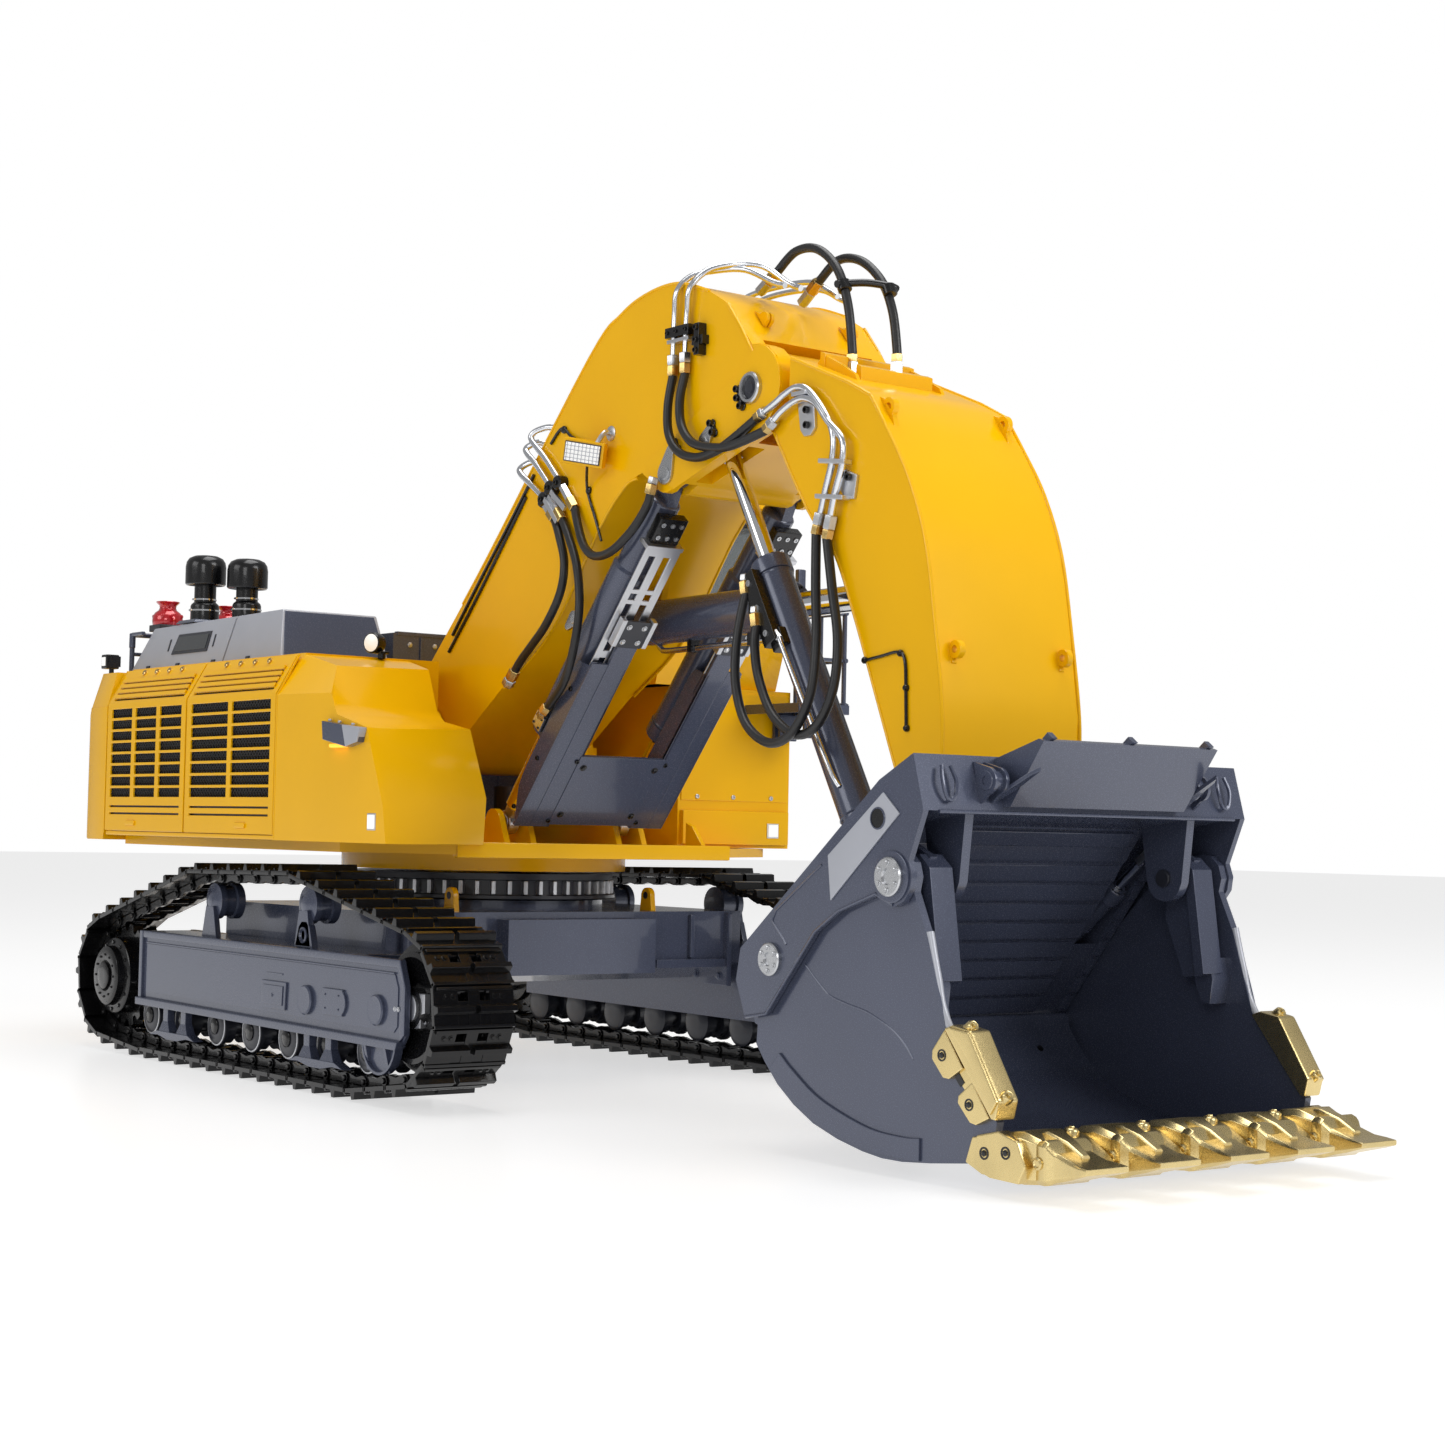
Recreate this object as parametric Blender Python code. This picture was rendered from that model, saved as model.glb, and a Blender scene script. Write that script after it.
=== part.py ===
"""Radio-controlled hydraulic face shovel, built as separate pieces on real pivots.

Drawing frame: millimetres, X forward, Y to the machine's left, Z up, with the slew axis at
X = 0, Y = 0 and the ground at Z = 0.  MM turns millimetres into Blender's metres and CENTRE_X
moves the origin to the middle of the whole machine's footprint.
"""
import math

import bmesh
import bpy
from mathutils import Matrix, Vector

MM = 0.001
REAR_X = -345.0
TOOTH_TIP_X = 612.0
CENTRE_X = (REAR_X + TOOTH_TIP_X) / 2
GAP = 0.3

# crawler
TRACK_Y = 144.5
TRACK_W = 48.0
TRACK_BOTTOM = 3.0
SHOE_COUNT = 46
SHOE_T = 5.0
LINK_T = 9.0
IDLER = (185.0, 52.0, 43.0)
SPROCKET = (-187.0, 47.0, 40.0)
CARRIERS = ((-62.0, 99.0, 20.0), (58.0, 101.0, 20.0))
ROLLER_R = 13.0
ROLLER_XS = (-138.0, -92.0, -46.0, 0.0, 46.0, 92.0, 138.0)
FRAME_X = (-143.0, 188.0)
FRAME_Z = (32.0, 78.0)
FRAME_Y = (125.5, 163.0)

# slewing ring and deck
RING_R = 78.0
RING_Z = (104.0, 120.6)
SKIRT_R = 88.0
DECK_Z = (121.2, 131.4, 136.7)
DECK_X = (-200.0, 125.0)
BODY_Y = 165.0

# pivots of the digging gear, as (X, Z) in the side view
BOOM_FOOT = (10.0, 203.0)
LIFT_FOOT = (89.0, 150.0)
LIFT_HEAD = (250.0, 339.0)
STICK_PIVOT = (323.0, 373.0)
TILT_HEAD = (284.0, 353.0)
CROWD_FOOT = (155.0, 264.0)
CROWD_HEAD = (392.0, 268.0)
BUCKET_PIVOT = (449.0, 152.0)
PIN_HEAD_R = 13.0
TILT_FOOT = (410.0, 132.0)
CLAM_PIVOT = (499.5, 129.0)
CLAM_CYL_FOOT = (417.0, 89.0)
CLAM_CYL_HEAD = (483.0, 143.0)

LIFT_Y = 39.5
TILT_Y = 34.0
CLAM_CYL_Y = 79.5
BOOM_Y = 46.5
FORK_Y = 37.0
STICK_Y = 45.0
BUCKET_Y = 103.5

YELLOW = ("yellow_paint", (0.85, 0.38, 0.0), 0.25, 0.0)
SLATE = ("slate_paint", (0.095, 0.105, 0.15), 0.35, 0.1)
BLACK = ("black_gloss", (0.01, 0.01, 0.012), 0.3, 0.0)
CHROME = ("chrome", (0.8, 0.8, 0.8), 0.08, 1.0)
STEEL = ("steel", (0.55, 0.55, 0.56), 0.3, 1.0)
GOLD = ("gold_teeth", (0.72, 0.52, 0.2), 0.28, 1.0)
GREY = ("light_grey_paint", (0.36, 0.38, 0.43), 0.35, 0.1)
RED = ("red_paint", (0.5, 0.01, 0.02), 0.2, 0.0)
GLASS = ("glass", (0.1, 0.12, 0.14), 0.05, 0.0)
HOSE = ("hose_rubber", (0.012, 0.012, 0.013), 0.4, 0.0)
PLASTIC = ("black_plastic", (0.02, 0.02, 0.022), 0.5, 0.0)


def clear_scene():
    for obj in list(bpy.data.objects):
        bpy.data.objects.remove(obj, do_unlink=True)


def material(spec):
    """One Principled material for each finish, made once."""
    name, colour, roughness, metallic = spec
    found = bpy.data.materials.get(name)
    if found:
        return found
    made = bpy.data.materials.new(name)
    made.use_nodes = True
    shader = made.node_tree.nodes["Principled BSDF"]
    shader.inputs["Base Color"].default_value = (*colour, 1.0)
    shader.inputs["Roughness"].default_value = roughness
    shader.inputs["Metallic"].default_value = metallic
    return made


def point(x, y, z):
    """A drawing point in metres, measured from the model's origin."""
    return Vector(((x - CENTRE_X) * MM, y * MM, z * MM))


# ---------------------------------------------------------------- side-view curves

def arc(centre, radius, start, end, steps=8):
    """Points on an arc in the side view, angles in degrees."""
    pts = []
    for i in range(steps + 1):
        a = math.radians(start + (end - start) * i / steps)
        pts.append((centre[0] + radius * math.cos(a), centre[1] + radius * math.sin(a)))
    return pts


def curve(points, steps=4):
    """A smooth curve through the given side-view points (Catmull-Rom)."""
    ends = [points[0]] + list(points) + [points[-1]]
    pts = []
    for k in range(1, len(ends) - 2):
        a, b, c, d = ends[k - 1:k + 3]
        for i in range(steps):
            t = i / steps
            pts.append(tuple(0.5 * (2 * b[j] + (c[j] - a[j]) * t
                                    + (2 * a[j] - 5 * b[j] + 4 * c[j] - d[j]) * t * t
                                    + (3 * b[j] - a[j] - 3 * c[j] + d[j]) * t ** 3) for j in (0, 1)))
    pts.append(tuple(points[-1]))
    return pts


def along(a, b, distance, offset=0.0):
    """The point at a distance from a towards b, and offset to the left of that line."""
    length = math.dist(a, b)
    ux, uz = (b[0] - a[0]) / length, (b[1] - a[1]) / length
    return a[0] + ux * distance - uz * offset, a[1] + uz * distance + ux * offset


def belt(circles, steps=10):
    """The outline of a belt round the given circles: the convex hull of their points."""
    cloud = []
    for cx, cz, r in circles:
        cloud += arc((cx, cz), r, 0, 360, steps * 2)[:-1]
    cloud = sorted(set((round(x, 4), round(z, 4)) for x, z in cloud))

    def half(points):
        hull = []
        for p in points:
            while len(hull) > 1 and ((hull[-1][0] - hull[-2][0]) * (p[1] - hull[-2][1])
                                     - (hull[-1][1] - hull[-2][1]) * (p[0] - hull[-2][0])) <= 0:
                hull.pop()
            hull.append(p)
        return hull[:-1]

    return half(cloud) + half(cloud[::-1])


def spaced(outline, count):
    """Points at equal steps along a closed outline, each with its outward normal."""
    closed = outline + [outline[0]]
    lengths = [math.dist(closed[i], closed[i + 1]) for i in range(len(outline))]
    step = sum(lengths) / count
    result = []
    index, passed = 0, 0.0
    for k in range(count):
        target = k * step
        while passed + lengths[index] < target:
            passed += lengths[index]
            index += 1
        a, b = closed[index], closed[index + 1]
        t = (target - passed) / lengths[index]
        direction = ((b[0] - a[0]) / lengths[index], (b[1] - a[1]) / lengths[index])
        result.append(((a[0] + (b[0] - a[0]) * t, a[1] + (b[1] - a[1]) * t),
                       (direction[1], -direction[0])))
    return result


# ---------------------------------------------------------------- solids

def to_mesh(bm):
    bmesh.ops.recalc_face_normals(bm, faces=bm.faces)
    mesh = bpy.data.meshes.new("solid")
    bm.to_mesh(mesh)
    bm.free()
    return mesh


def loft(sections):
    """A closed solid through rings of drawing points that all have the same count."""
    bm = bmesh.new()
    rings = [[bm.verts.new(point(*p)) for p in ring] for ring in sections]
    count = len(rings[0])
    for low, high in zip(rings, rings[1:]):
        for i in range(count):
            j = (i + 1) % count
            bm.faces.new((low[i], low[j], high[j], high[i]))
    bm.faces.new(rings[0][::-1])
    bm.faces.new(rings[-1])
    return to_mesh(bm)


def side_plate(outline, y0, y1):
    """A side-view outline, extruded across the machine from y0 to y1."""
    return loft([[(x, y0, z) for x, z in outline], [(x, y1, z) for x, z in outline]])


def across(sections):
    """A solid across the machine through (Y, side-view outline) sections."""
    return loft([[(x, y, z) for x, z in outline] for y, outline in sections])


def floor_plate(outline, z0, z1, inset=0.0):
    """A plan outline of (X, Y), extruded upwards; inset shrinks the top towards its middle."""
    cx = sum(p[0] for p in outline) / len(outline)
    cy = sum(p[1] for p in outline) / len(outline)

    def shrink(x, y):
        size = math.hypot(x - cx, y - cy)
        k = 1 - inset / size
        return cx + (x - cx) * k, cy + (y - cy) * k

    top = [shrink(*p) for p in outline]
    return loft([[(x, y, z0) for x, y in outline], [(x, y, z1) for x, y in top]])


def box(x, y, z):
    """A box given by its ranges in X, Y and Z."""
    return side_plate([(x[0], z[0]), (x[1], z[0]), (x[1], z[1]), (x[0], z[1])], y[0], y[1])


def round_bar(a, b, radius, sides=16):
    """A closed cylinder from drawing point a to b."""
    start, end = point(*a), point(*b)
    bm = bmesh.new()
    turn = (end - start).to_track_quat("Z", "Y").to_matrix().to_4x4()
    place = Matrix.Translation((start + end) / 2) @ turn
    bmesh.ops.create_cone(bm, cap_ends=True, segments=sides, radius1=radius * MM, radius2=radius * MM,
                          depth=(end - start).length, matrix=place)
    return to_mesh(bm)


def cross_bar(at, radius, y0, y1, sides=16):
    """A cylinder across the machine at a side-view point."""
    return side_plate(arc(at, radius, 0, 360, sides)[:-1], y0, y1)


def turned(at, profile, sides=20):
    """A solid of revolution about a vertical axis at (X, Y), from (radius, Z) points upwards."""
    rings = []
    for r, z in profile:
        ring = [(at[0] + r * math.cos(2 * math.pi * i / sides), at[1] + r * math.sin(2 * math.pi * i / sides), z)
                for i in range(sides)]
        rings.append(ring)
    return loft(rings)


def tube_along(points, radius, sides=8):
    """A solid tube through drawing points, with its rings square to the path."""
    places = [point(*p) for p in points]
    bm = bmesh.new()
    rings = []
    side = None
    for i, place in enumerate(places):
        heading = (places[min(i + 1, len(places) - 1)] - places[max(i - 1, 0)]).normalized()
        side = heading.orthogonal() if side is None else side - heading * side.dot(heading)
        side.normalize()
        other = heading.cross(side)
        ring = []
        for k in range(sides):
            a = 2 * math.pi * k / sides
            ring.append(bm.verts.new(place + (side * math.cos(a) + other * math.sin(a)) * radius * MM))
        rings.append(ring)
    for low, high in zip(rings, rings[1:]):
        for k in range(sides):
            j = (k + 1) % sides
            bm.faces.new((low[k], low[j], high[j], high[k]))
    bm.faces.new(rings[0][::-1])
    bm.faces.new(rings[-1])
    return to_mesh(bm)


def smooth_route(points, steps=6):
    """A smooth 3-D route through the given drawing points (Catmull-Rom)."""
    ends = [points[0]] + list(points) + [points[-1]]
    route = []
    for k in range(1, len(ends) - 2):
        a, b, c, d = ends[k - 1:k + 3]
        for i in range(steps):
            t = i / steps
            route.append(tuple(0.5 * (2 * b[j] + (c[j] - a[j]) * t
                                      + (2 * a[j] - 5 * b[j] + 4 * c[j] - d[j]) * t * t
                                      + (3 * b[j] - a[j] - 3 * c[j] + d[j]) * t ** 3) for j in range(3)))
    route.append(tuple(points[-1]))
    return route


# ---------------------------------------------------------------- nodes and pivots

PIVOTS = {}


def pivot(name, at, parent=None):
    """An empty on a joint's axis; the pieces that turn there are its children."""
    empty = bpy.data.objects.new(name + "_axis", None)
    empty.empty_display_size = 0.02
    bpy.context.collection.objects.link(empty)
    place = point(*at)
    if parent:
        empty.parent = PIVOTS[parent][0]
        empty.location = place - PIVOTS[parent][1]
    else:
        empty.location = place
    PIVOTS[name] = (empty, place)


def temporary(mesh):
    obj = bpy.data.objects.new("temporary", mesh)
    bpy.context.collection.objects.link(obj)
    return obj


def joined(solids, cuts=()):
    """One mesh: the union of the solids, less the cuts."""
    base = temporary(solids[0])
    helpers = []
    steps = [(mesh, "UNION") for mesh in solids[1:]] + [(mesh, "DIFFERENCE") for mesh in cuts]
    for mesh, operation in steps:
        helper = temporary(mesh)
        helpers.append(helper)
        modifier = base.modifiers.new("join", "BOOLEAN")
        modifier.operation = operation
        modifier.solver = "EXACT"
        modifier.object = helper
    result = bpy.data.meshes.new_from_object(base.evaluated_get(bpy.context.evaluated_depsgraph_get()))
    for obj in [base] + helpers:
        bpy.data.objects.remove(obj, do_unlink=True)
    return result


def node(name, body, finish, solids, cuts=(), smooth=None):
    """A named piece of the machine, hung on its body's pivot."""
    mesh = joined(solids, cuts) if len(solids) > 1 or cuts else solids[0]
    empty, place = PIVOTS[body]
    mesh.transform(Matrix.Translation(-place))
    mesh.name = name
    mesh.materials.clear()
    mesh.materials.append(material(finish))
    if smooth:
        mesh.shade_smooth()
        mesh.set_sharp_from_angle(angle=math.radians(smooth))
    obj = bpy.data.objects.new(name, mesh)
    bpy.context.collection.objects.link(obj)
    obj.parent = empty
    return obj


SIDES = (("right", -1.0), ("left", 1.0))


def span(side, near, far):
    """A Y range on one side of the machine, from its inner to its outer distance."""
    return tuple(sorted((side * near, side * far)))


# ---------------------------------------------------------------- undercarriage

def track_circles(shrink):
    rollers = [(x, TRACK_BOTTOM + LINK_T + ROLLER_R, ROLLER_R + LINK_T) for x in (ROLLER_XS[0], ROLLER_XS[-1])]
    return [(x, z, r - shrink) for x, z, r in (IDLER, SPROCKET) + CARRIERS + tuple(rollers)]


def track(name, side):
    """The chain of shoes: a closed belt whose outside carries a grouser on every shoe."""
    outer = []
    half_pad = 2.6
    for place, normal in spaced(belt(track_circles(0.0)), SHOE_COUNT):
        heading = (-normal[1], normal[0])
        for shift, rise in ((-half_pad * 1.6, 0.0), (-half_pad, TRACK_BOTTOM), (half_pad * 0.2, TRACK_BOTTOM)):
            outer.append((place[0] + heading[0] * shift + normal[0] * rise,
                          place[1] + heading[1] * shift + normal[1] * rise))
    inner = belt(track_circles(LINK_T - SHOE_T + 1.0))
    y0, y1 = span(side, TRACK_Y - TRACK_W / 2, TRACK_Y + TRACK_W / 2)
    node(name, "undercarriage", BLACK, [side_plate(outer, y0, y1)], [side_plate(inner, y0 - 5, y1 + 5)])


def roller_bank(name, side):
    """Track rollers and carrier rollers on their axles, tied by the rail they are bolted to."""
    y0, y1 = span(side, TRACK_Y - 11, TRACK_Y + 11)
    z = TRACK_BOTTOM + LINK_T + ROLLER_R
    solids = [box((ROLLER_XS[0] - 4, ROLLER_XS[-1] + 4), span(side, TRACK_Y - 3, TRACK_Y + 3), (z - 3, z + 3))]
    solids += [cross_bar((x, z), ROLLER_R - 2.5, y0, y1, 14) for x in ROLLER_XS]
    node(name, "undercarriage", SLATE, solids)


def side_frame(name, side):
    """Box-section frame between the track runs, with rock guards and the carrier rollers' posts."""
    x0, x1 = FRAME_X
    z0, z1 = FRAME_Z
    outline = [(x0, z0), (x1 - 2, z0 - 2), (x1, z0 + 6), (x1, z1 - 14), (x1 - 6, z1 - 1), (x0, z1)]
    solids = [side_plate(outline, *span(side, *FRAME_Y))]
    guard = [(-18, 0), (18, 0), (24, -13), (-24, -13)]
    for x in (-118.0, 72.0):
        solids.append(side_plate([(x + dx, z0 + 1 + dz) for dx, dz in guard], *span(side, 157, 162)))
    nose = [(118, z0 + 1), (163, z0 + 1)] + arc((144, z0 - 4), 18, -10, -150, 6)
    solids.append(side_plate(nose, *span(side, 157, 162)))
    post_z = z1 - 2
    for x, z, r in CARRIERS:
        post = [(x - 9, post_z), (x + 9, post_z), (x + 5, z), (x - 5, z)]
        solids.append(side_plate(post, *span(side, 151, 155)))
        solids.append(cross_bar((x, z), r - LINK_T, *span(side, 136, 153), 14))
    idler_room = box((IDLER[0] - IDLER[2] + 3, x1 + 10), span(side, 129.5, 159.5), (z0 - 40, z1 + 10))
    roller_room = box((x0 - 10, x1 + 10), span(side, 131, 156.5), (z0 - 20, z0 + 5.5))
    node(name, "undercarriage", SLATE, solids, [idler_room, roller_room])


def toothed(centre, tip_r, root_r, teeth):
    outline = []
    for i in range(teeth):
        for part, r in ((0.0, root_r), (0.3, root_r), (0.5, tip_r), (0.8, tip_r)):
            a = 2 * math.pi * (i + part) / teeth
            outline.append((centre[0] + r * math.cos(a), centre[1] + r * math.sin(a)))
    return outline


def undercarriage():
    pivot("undercarriage", (0, 0, 0))
    beam = [(-62, 55), (62, 55), (100, 66), (100, 98), (-100, 98), (-100, 66)]
    node("carbody", "undercarriage", SLATE, [
        side_plate(beam, -FRAME_Y[0] + GAP, FRAME_Y[0] - GAP),
        box((-112, 112), (-52, 52), (62, 94)),
        turned((0, 0), [(66, 90), (62, 103.7)], 24)])
    ring = turned((0, 0), [(72, RING_Z[0]), (72, RING_Z[1])], 32)
    teeth = floor_plate(toothed((0, 0), RING_R, RING_R - 4, 36), RING_Z[0] + 3, RING_Z[1] - 5)
    node("slew_ring", "undercarriage", STEEL, [ring, teeth],
         [turned((0, 0), [(50, RING_Z[0] - 5), (50, RING_Z[1] + 5)], 24)])
    for word, side in SIDES:
        track("track_" + word, side)
        side_frame("side_frame_" + word, side)
        roller_bank("roller_bank_" + word, side)
        motor = [cross_bar(SPROCKET[:2], 17, *span(side, 126, 140), 20),
                 side_plate([(-176, 34), (-143.4, 38), (-143.4, 62), (-176, 60)], *span(side, 127, 139))]
        node("travel_motor_" + word, "undercarriage", PLASTIC, motor)
        pivot("sprocket_" + word, (SPROCKET[0], side * TRACK_Y, SPROCKET[1]), "undercarriage")
        hub = [side_plate(toothed(SPROCKET[:2], 33.5, 29, 16), *span(side, 144.5, 152)),
               cross_bar(SPROCKET[:2], 24, *span(side, 141, 161), 24),
               cross_bar(SPROCKET[:2], 18, *span(side, 160, 166), 24)]
        node("sprocket_" + word, "sprocket_" + word, BLACK, hub)
        pivot("idler_" + word, (IDLER[0], side * TRACK_Y, IDLER[1]), "undercarriage")
        idler_y = span(side, TRACK_Y - 13, TRACK_Y + 13)
        wheel = [cross_bar(IDLER[:2], IDLER[2] - LINK_T - 5, *idler_y, 24),
                 cross_bar(IDLER[:2], 8, *span(side, TRACK_Y - 14.6, TRACK_Y + 14.6))]
        rim = cross_bar(IDLER[:2], IDLER[2] - LINK_T + 0.4, *span(side, TRACK_Y - 7, TRACK_Y + 7), 24)
        node("idler_" + word, "idler_" + word, BLACK, wheel + [rim])


# ---------------------------------------------------------------- upper structure

def deck():
    """Deck plate over the slewing ring, with the boom's and lift cylinders' foot brackets."""
    pivot("upper", (0, 0, 0))
    x0, x1 = DECK_X
    plate = [(x0, -150), (90, -150), (x1, -96), (x1, 96), (90, 150), (x0, 150)]
    solids = [floor_plate(plate, DECK_Z[1], DECK_Z[2]),
              turned((0, 0), [(SKIRT_R, DECK_Z[0]), (SKIRT_R, DECK_Z[2] - 1)], 36)]
    foot = [(-26, DECK_Z[2] - 1), (64, DECK_Z[2] - 1)] + arc(BOOM_FOOT, 17, 20, 160, 6)
    lug = [(76, DECK_Z[2] - 1), (104, DECK_Z[2] - 1)] + arc(LIFT_FOOT, 8, 20, 160, 5)
    for _, side in SIDES:
        solids.append(side_plate(foot, *span(side, BOOM_Y + 1, BOOM_Y + 7)))
        solids.append(side_plate(lug, *span(side, LIFT_Y - 11, LIFT_Y - 7.2)))
        solids.append(side_plate(lug, *span(side, LIFT_Y + 7.2, LIFT_Y + 11)))
    holes = [cross_bar(BOOM_FOOT, 7 + GAP, -60, 60), turned((0, 0), [(40, 110), (40, 145)], 24)]
    node("deck", "upper", YELLOW, solids, holes)
    node("boom_foot_pin", "upper", STEEL, [cross_bar(BOOM_FOOT, 7, -BOOM_Y - 9, BOOM_Y + 9, 20)])
    node("slew_motor", "upper", PLASTIC, [
        turned((30, 0), [(14, 141), (14, 150), (11, 152), (11, 172)], 16),
        turned((30, 0), [(7, 112), (7, 142)], 12)])


def casing_right():
    """Engine casing and tank on the right, a shell open underneath and at its two doors."""
    y_out = -BODY_Y + 3
    engine = [(y_out, 137), (y_out, 220), (-148, 245), (-60, 245), (-60, 137)]
    inside = [(y_out + 3, 130), (y_out + 3, 218), (-147, 241), (-64, 241), (-64, 130)]
    tank = (
        (-BODY_Y, [(37.5, 137), (167, 137), (163, 157), (144, 199), (110, 207), (106, 214), (103, 219), (37.5, 220)]),
        (-148, [(37.5, 137), (162, 137), (158, 157), (139, 199), (105, 207), (98, 213), (77, 236), (37.5, 244.6)]),
        (-81, [(37.5, 137), (129, 137), (131, 163), (112, 202), (83.5, 207), (75, 213), (64, 238), (37.5, 244.6)]))
    room = (
        (-161, [(42, 130), (160, 130), (156, 156), (138, 195), (104, 203), (99, 210), (96, 215), (42, 215)]),
        (-147, [(42, 130), (156, 130), (152, 156), (134, 195), (101, 203), (93, 210), (73, 231), (42, 239)]),
        (-85, [(42, 130), (124, 130), (126, 161), (108, 198), (80, 203), (71, 210), (60, 233), (42, 240)]))
    shell = [loft([[(x, y, z) for y, z in engine] for x in (-200, 40)]), across(tank)]
    cuts = [loft([[(x, y, z) for y, z in inside] for x in (-196, 34)]), across(room)]
    for x0, x1 in DOOR_X:
        cuts.append(box((x0 + 6, x1 - 6), (-BODY_Y - 5, -BODY_Y + 15), (148, 212)))
    node("casing_right", "upper", YELLOW, shell, cuts)


DOOR_X = ((-199.0, -82.5), (-80.5, 36.5))


def door(name, x_range, hinge_x):
    """Grille door: a flat panel with its louvred top leaning inwards."""
    pivot(name, (hinge_x, -BODY_Y, 180), "upper")
    inner = -BODY_Y + 2.6
    skin = [(inner, 140), (-BODY_Y, 140), (-BODY_Y, 221), (-152, 244), (-151.5, 241.8), (inner, 220.2)]
    node(name, name, YELLOW, [loft([[(x, y, z) for y, z in skin] for x in x_range])])


def left_side():
    """Casing under the cab, cab shell with its glass, and the catwalk."""
    shell = [box((-200, 96), (78, BODY_Y), (137, 236))]
    node("casing_left", "upper", YELLOW, shell, [box((-196, 92), (82, BODY_Y - 4), (130, 232))])
    outline = [(-28, 236.4), (92, 236.4), (100, 262), (88, 352), (-28, 352)]
    panes = [(-16, 268), (84, 268), (76, 342), (-16, 342)]
    inner = [(-25, 230), (89, 230), (97, 262), (85.5, 349), (-25, 349)]
    node("cab_shell", "upper", YELLOW, [
        side_plate(outline, 62, 156),
        box((-34, 98), (56, 162), (350.5, 357))],
        [side_plate(inner, 65, 153), side_plate(panes, 50, 170),
         box((70, 120), (72, 146), (268, 342)), box((-40, -20), (76, 142), (276, 340))])
    glass = [(-24.6, 262), (96, 262), (85, 348.6), (-24.6, 348.6)]
    hollow = [(-22.6, 250), (94, 250), (83, 346.6), (-22.6, 346.6)]
    node("cab_glass", "upper", GLASS, [side_plate(glass, 65.4, 152.6)], [side_plate(hollow, 67.4, 150.6)])
    rail = [box((97, 150), (128, 168), (221, 225))]
    for x in (100, 124, 147):
        rail.append(round_bar((x, 166, 223), (x, 166, 284), 1.5, 8))
    for z in (254, 283):
        rail.append(round_bar((98, 166, z), (149, 166, z), 1.5, 8))
    rail.append(box((97, 99.5), (150, 168), (205, 224)))
    node("catwalk_left", "upper", SLATE, rail)


def counterweight():
    plan = [(-201, -BODY_Y), (-226, -BODY_Y), (-340, -118), (REAR_X, -104),
            (REAR_X, 104), (-340, 118), (-226, BODY_Y), (-201, BODY_Y)]
    node("counterweight", "upper", YELLOW, [floor_plate(plan, 134, 220), floor_plate(plan, 219, 243, 9)])


def roof_items():
    hood = [(-232, 245.4), (-16, 245.4), (-30, 276), (-214, 274)]
    node("engine_hood", "upper", GREY, [side_plate(hood, -136, -62)],
         [side_plate([(-226, 240), (-22, 240), (-34, 272), (-210, 270)], -132, -66)])
    for word, at, top in (("front", (-138, -99), 317), ("rear", (-166, -115), 320)):
        z0 = 276.6
        node("air_cleaner_" + word, "upper", BLACK, [turned(at, [
            (9, z0), (9, z0 + 11), (7.2, z0 + 13), (7.2, top - 20), (13, top - 19),
            (13, top - 7), (10.5, top - 2.2), (5, top)])])
    base = box((-229, -221), (-118, -66), (277, 279.5))
    vase = [(5.5, 278), (7.2, 281), (7.2, 285), (3.2, 289), (3.2, 290.5), (6, 293.5)]
    node("exhaust", "upper", RED, [base] + [turned((-225, y), vase, 14) for y in (-114, -70)])
    wall = [(-95, -57), (-92, -57), (-92, -50), (-33, -50), (-33, 50), (-92, 50), (-92, 72), (-95, 72),
            (-95, 47), (-36, 47), (-36, -47), (-95, -47)]
    node("deck_wall", "upper", SLATE, [floor_plate(wall, 137, 267)])


def inside_parts():
    node("battery", "upper", PLASTIC, [box((-180, -60), (92, 150), (138, 178))])
    node("electronics_box", "upper", PLASTIC, [box((-40, 70), (96, 146), (138, 164))])
    node("hydraulic_pump_tank", "upper", STEEL, [
        box((-186, -96), (-150, -80), (138, 196)),
        round_bar((-97, -112, 165), (-40, -112, 165), 18, 16)])
    node("valve_block", "upper", STEEL, [box((48, 96), (-146, -98), (138, 168))])


# ---------------------------------------------------------------- boom and its cylinders

def cylinder_pair(word, side, names, bodies, foot, head, y, sizes):
    """Barrel from the head pin towards the foot, and the rod that comes out of it."""
    barrel_name, rod_name = names
    barrel_r, rod_r, barrel_length, eye_r, eye_half, rod_length = sizes
    start = along(head, foot, eye_r + 10)
    end = along(head, foot, barrel_length)
    hole_r = 0.4 * eye_r
    waist = 0.52 * eye_r
    neck = [along(head, foot, 0, waist), along(head, foot, 0, -waist),
            along(head, foot, eye_r + 14, -waist), along(head, foot, eye_r + 14, waist)]
    bore = along(head, foot, eye_r + 17)
    foot_start = along(foot, head, eye_r + 4)
    shank = 0.3 * eye_r
    foot_neck = [along(foot, head, 0, shank), along(foot, head, eye_r + 7, shank),
                 along(foot, head, eye_r + 7, -shank), along(foot, head, 0, -shank)]
    lane = side * y

    def at(p):
        return p[0], lane, p[1]

    eye = cross_bar(head, eye_r, lane - eye_half, lane + eye_half)
    node(barrel_name + word, bodies[0], SLATE,
         [round_bar(at(start), at(end), barrel_r), side_plate(neck, lane - eye_half, lane + eye_half), eye],
         [round_bar(at(bore), at(along(head, foot, barrel_length + 10)), rod_r + GAP),
          cross_bar(head, hole_r, lane - 20, lane + 20, 12)], smooth=40)
    foot_eye = cross_bar(foot, eye_r - 2, lane - eye_half, lane + eye_half)
    node(rod_name + word, bodies[1], CHROME,
         [round_bar(at(foot_start), at(along(foot, head, rod_length)), rod_r),
          side_plate(foot_neck, lane - eye_half, lane + eye_half), foot_eye],
         [cross_bar(foot, hole_r, lane - 20, lane + 20, 12)], smooth=40)


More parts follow.
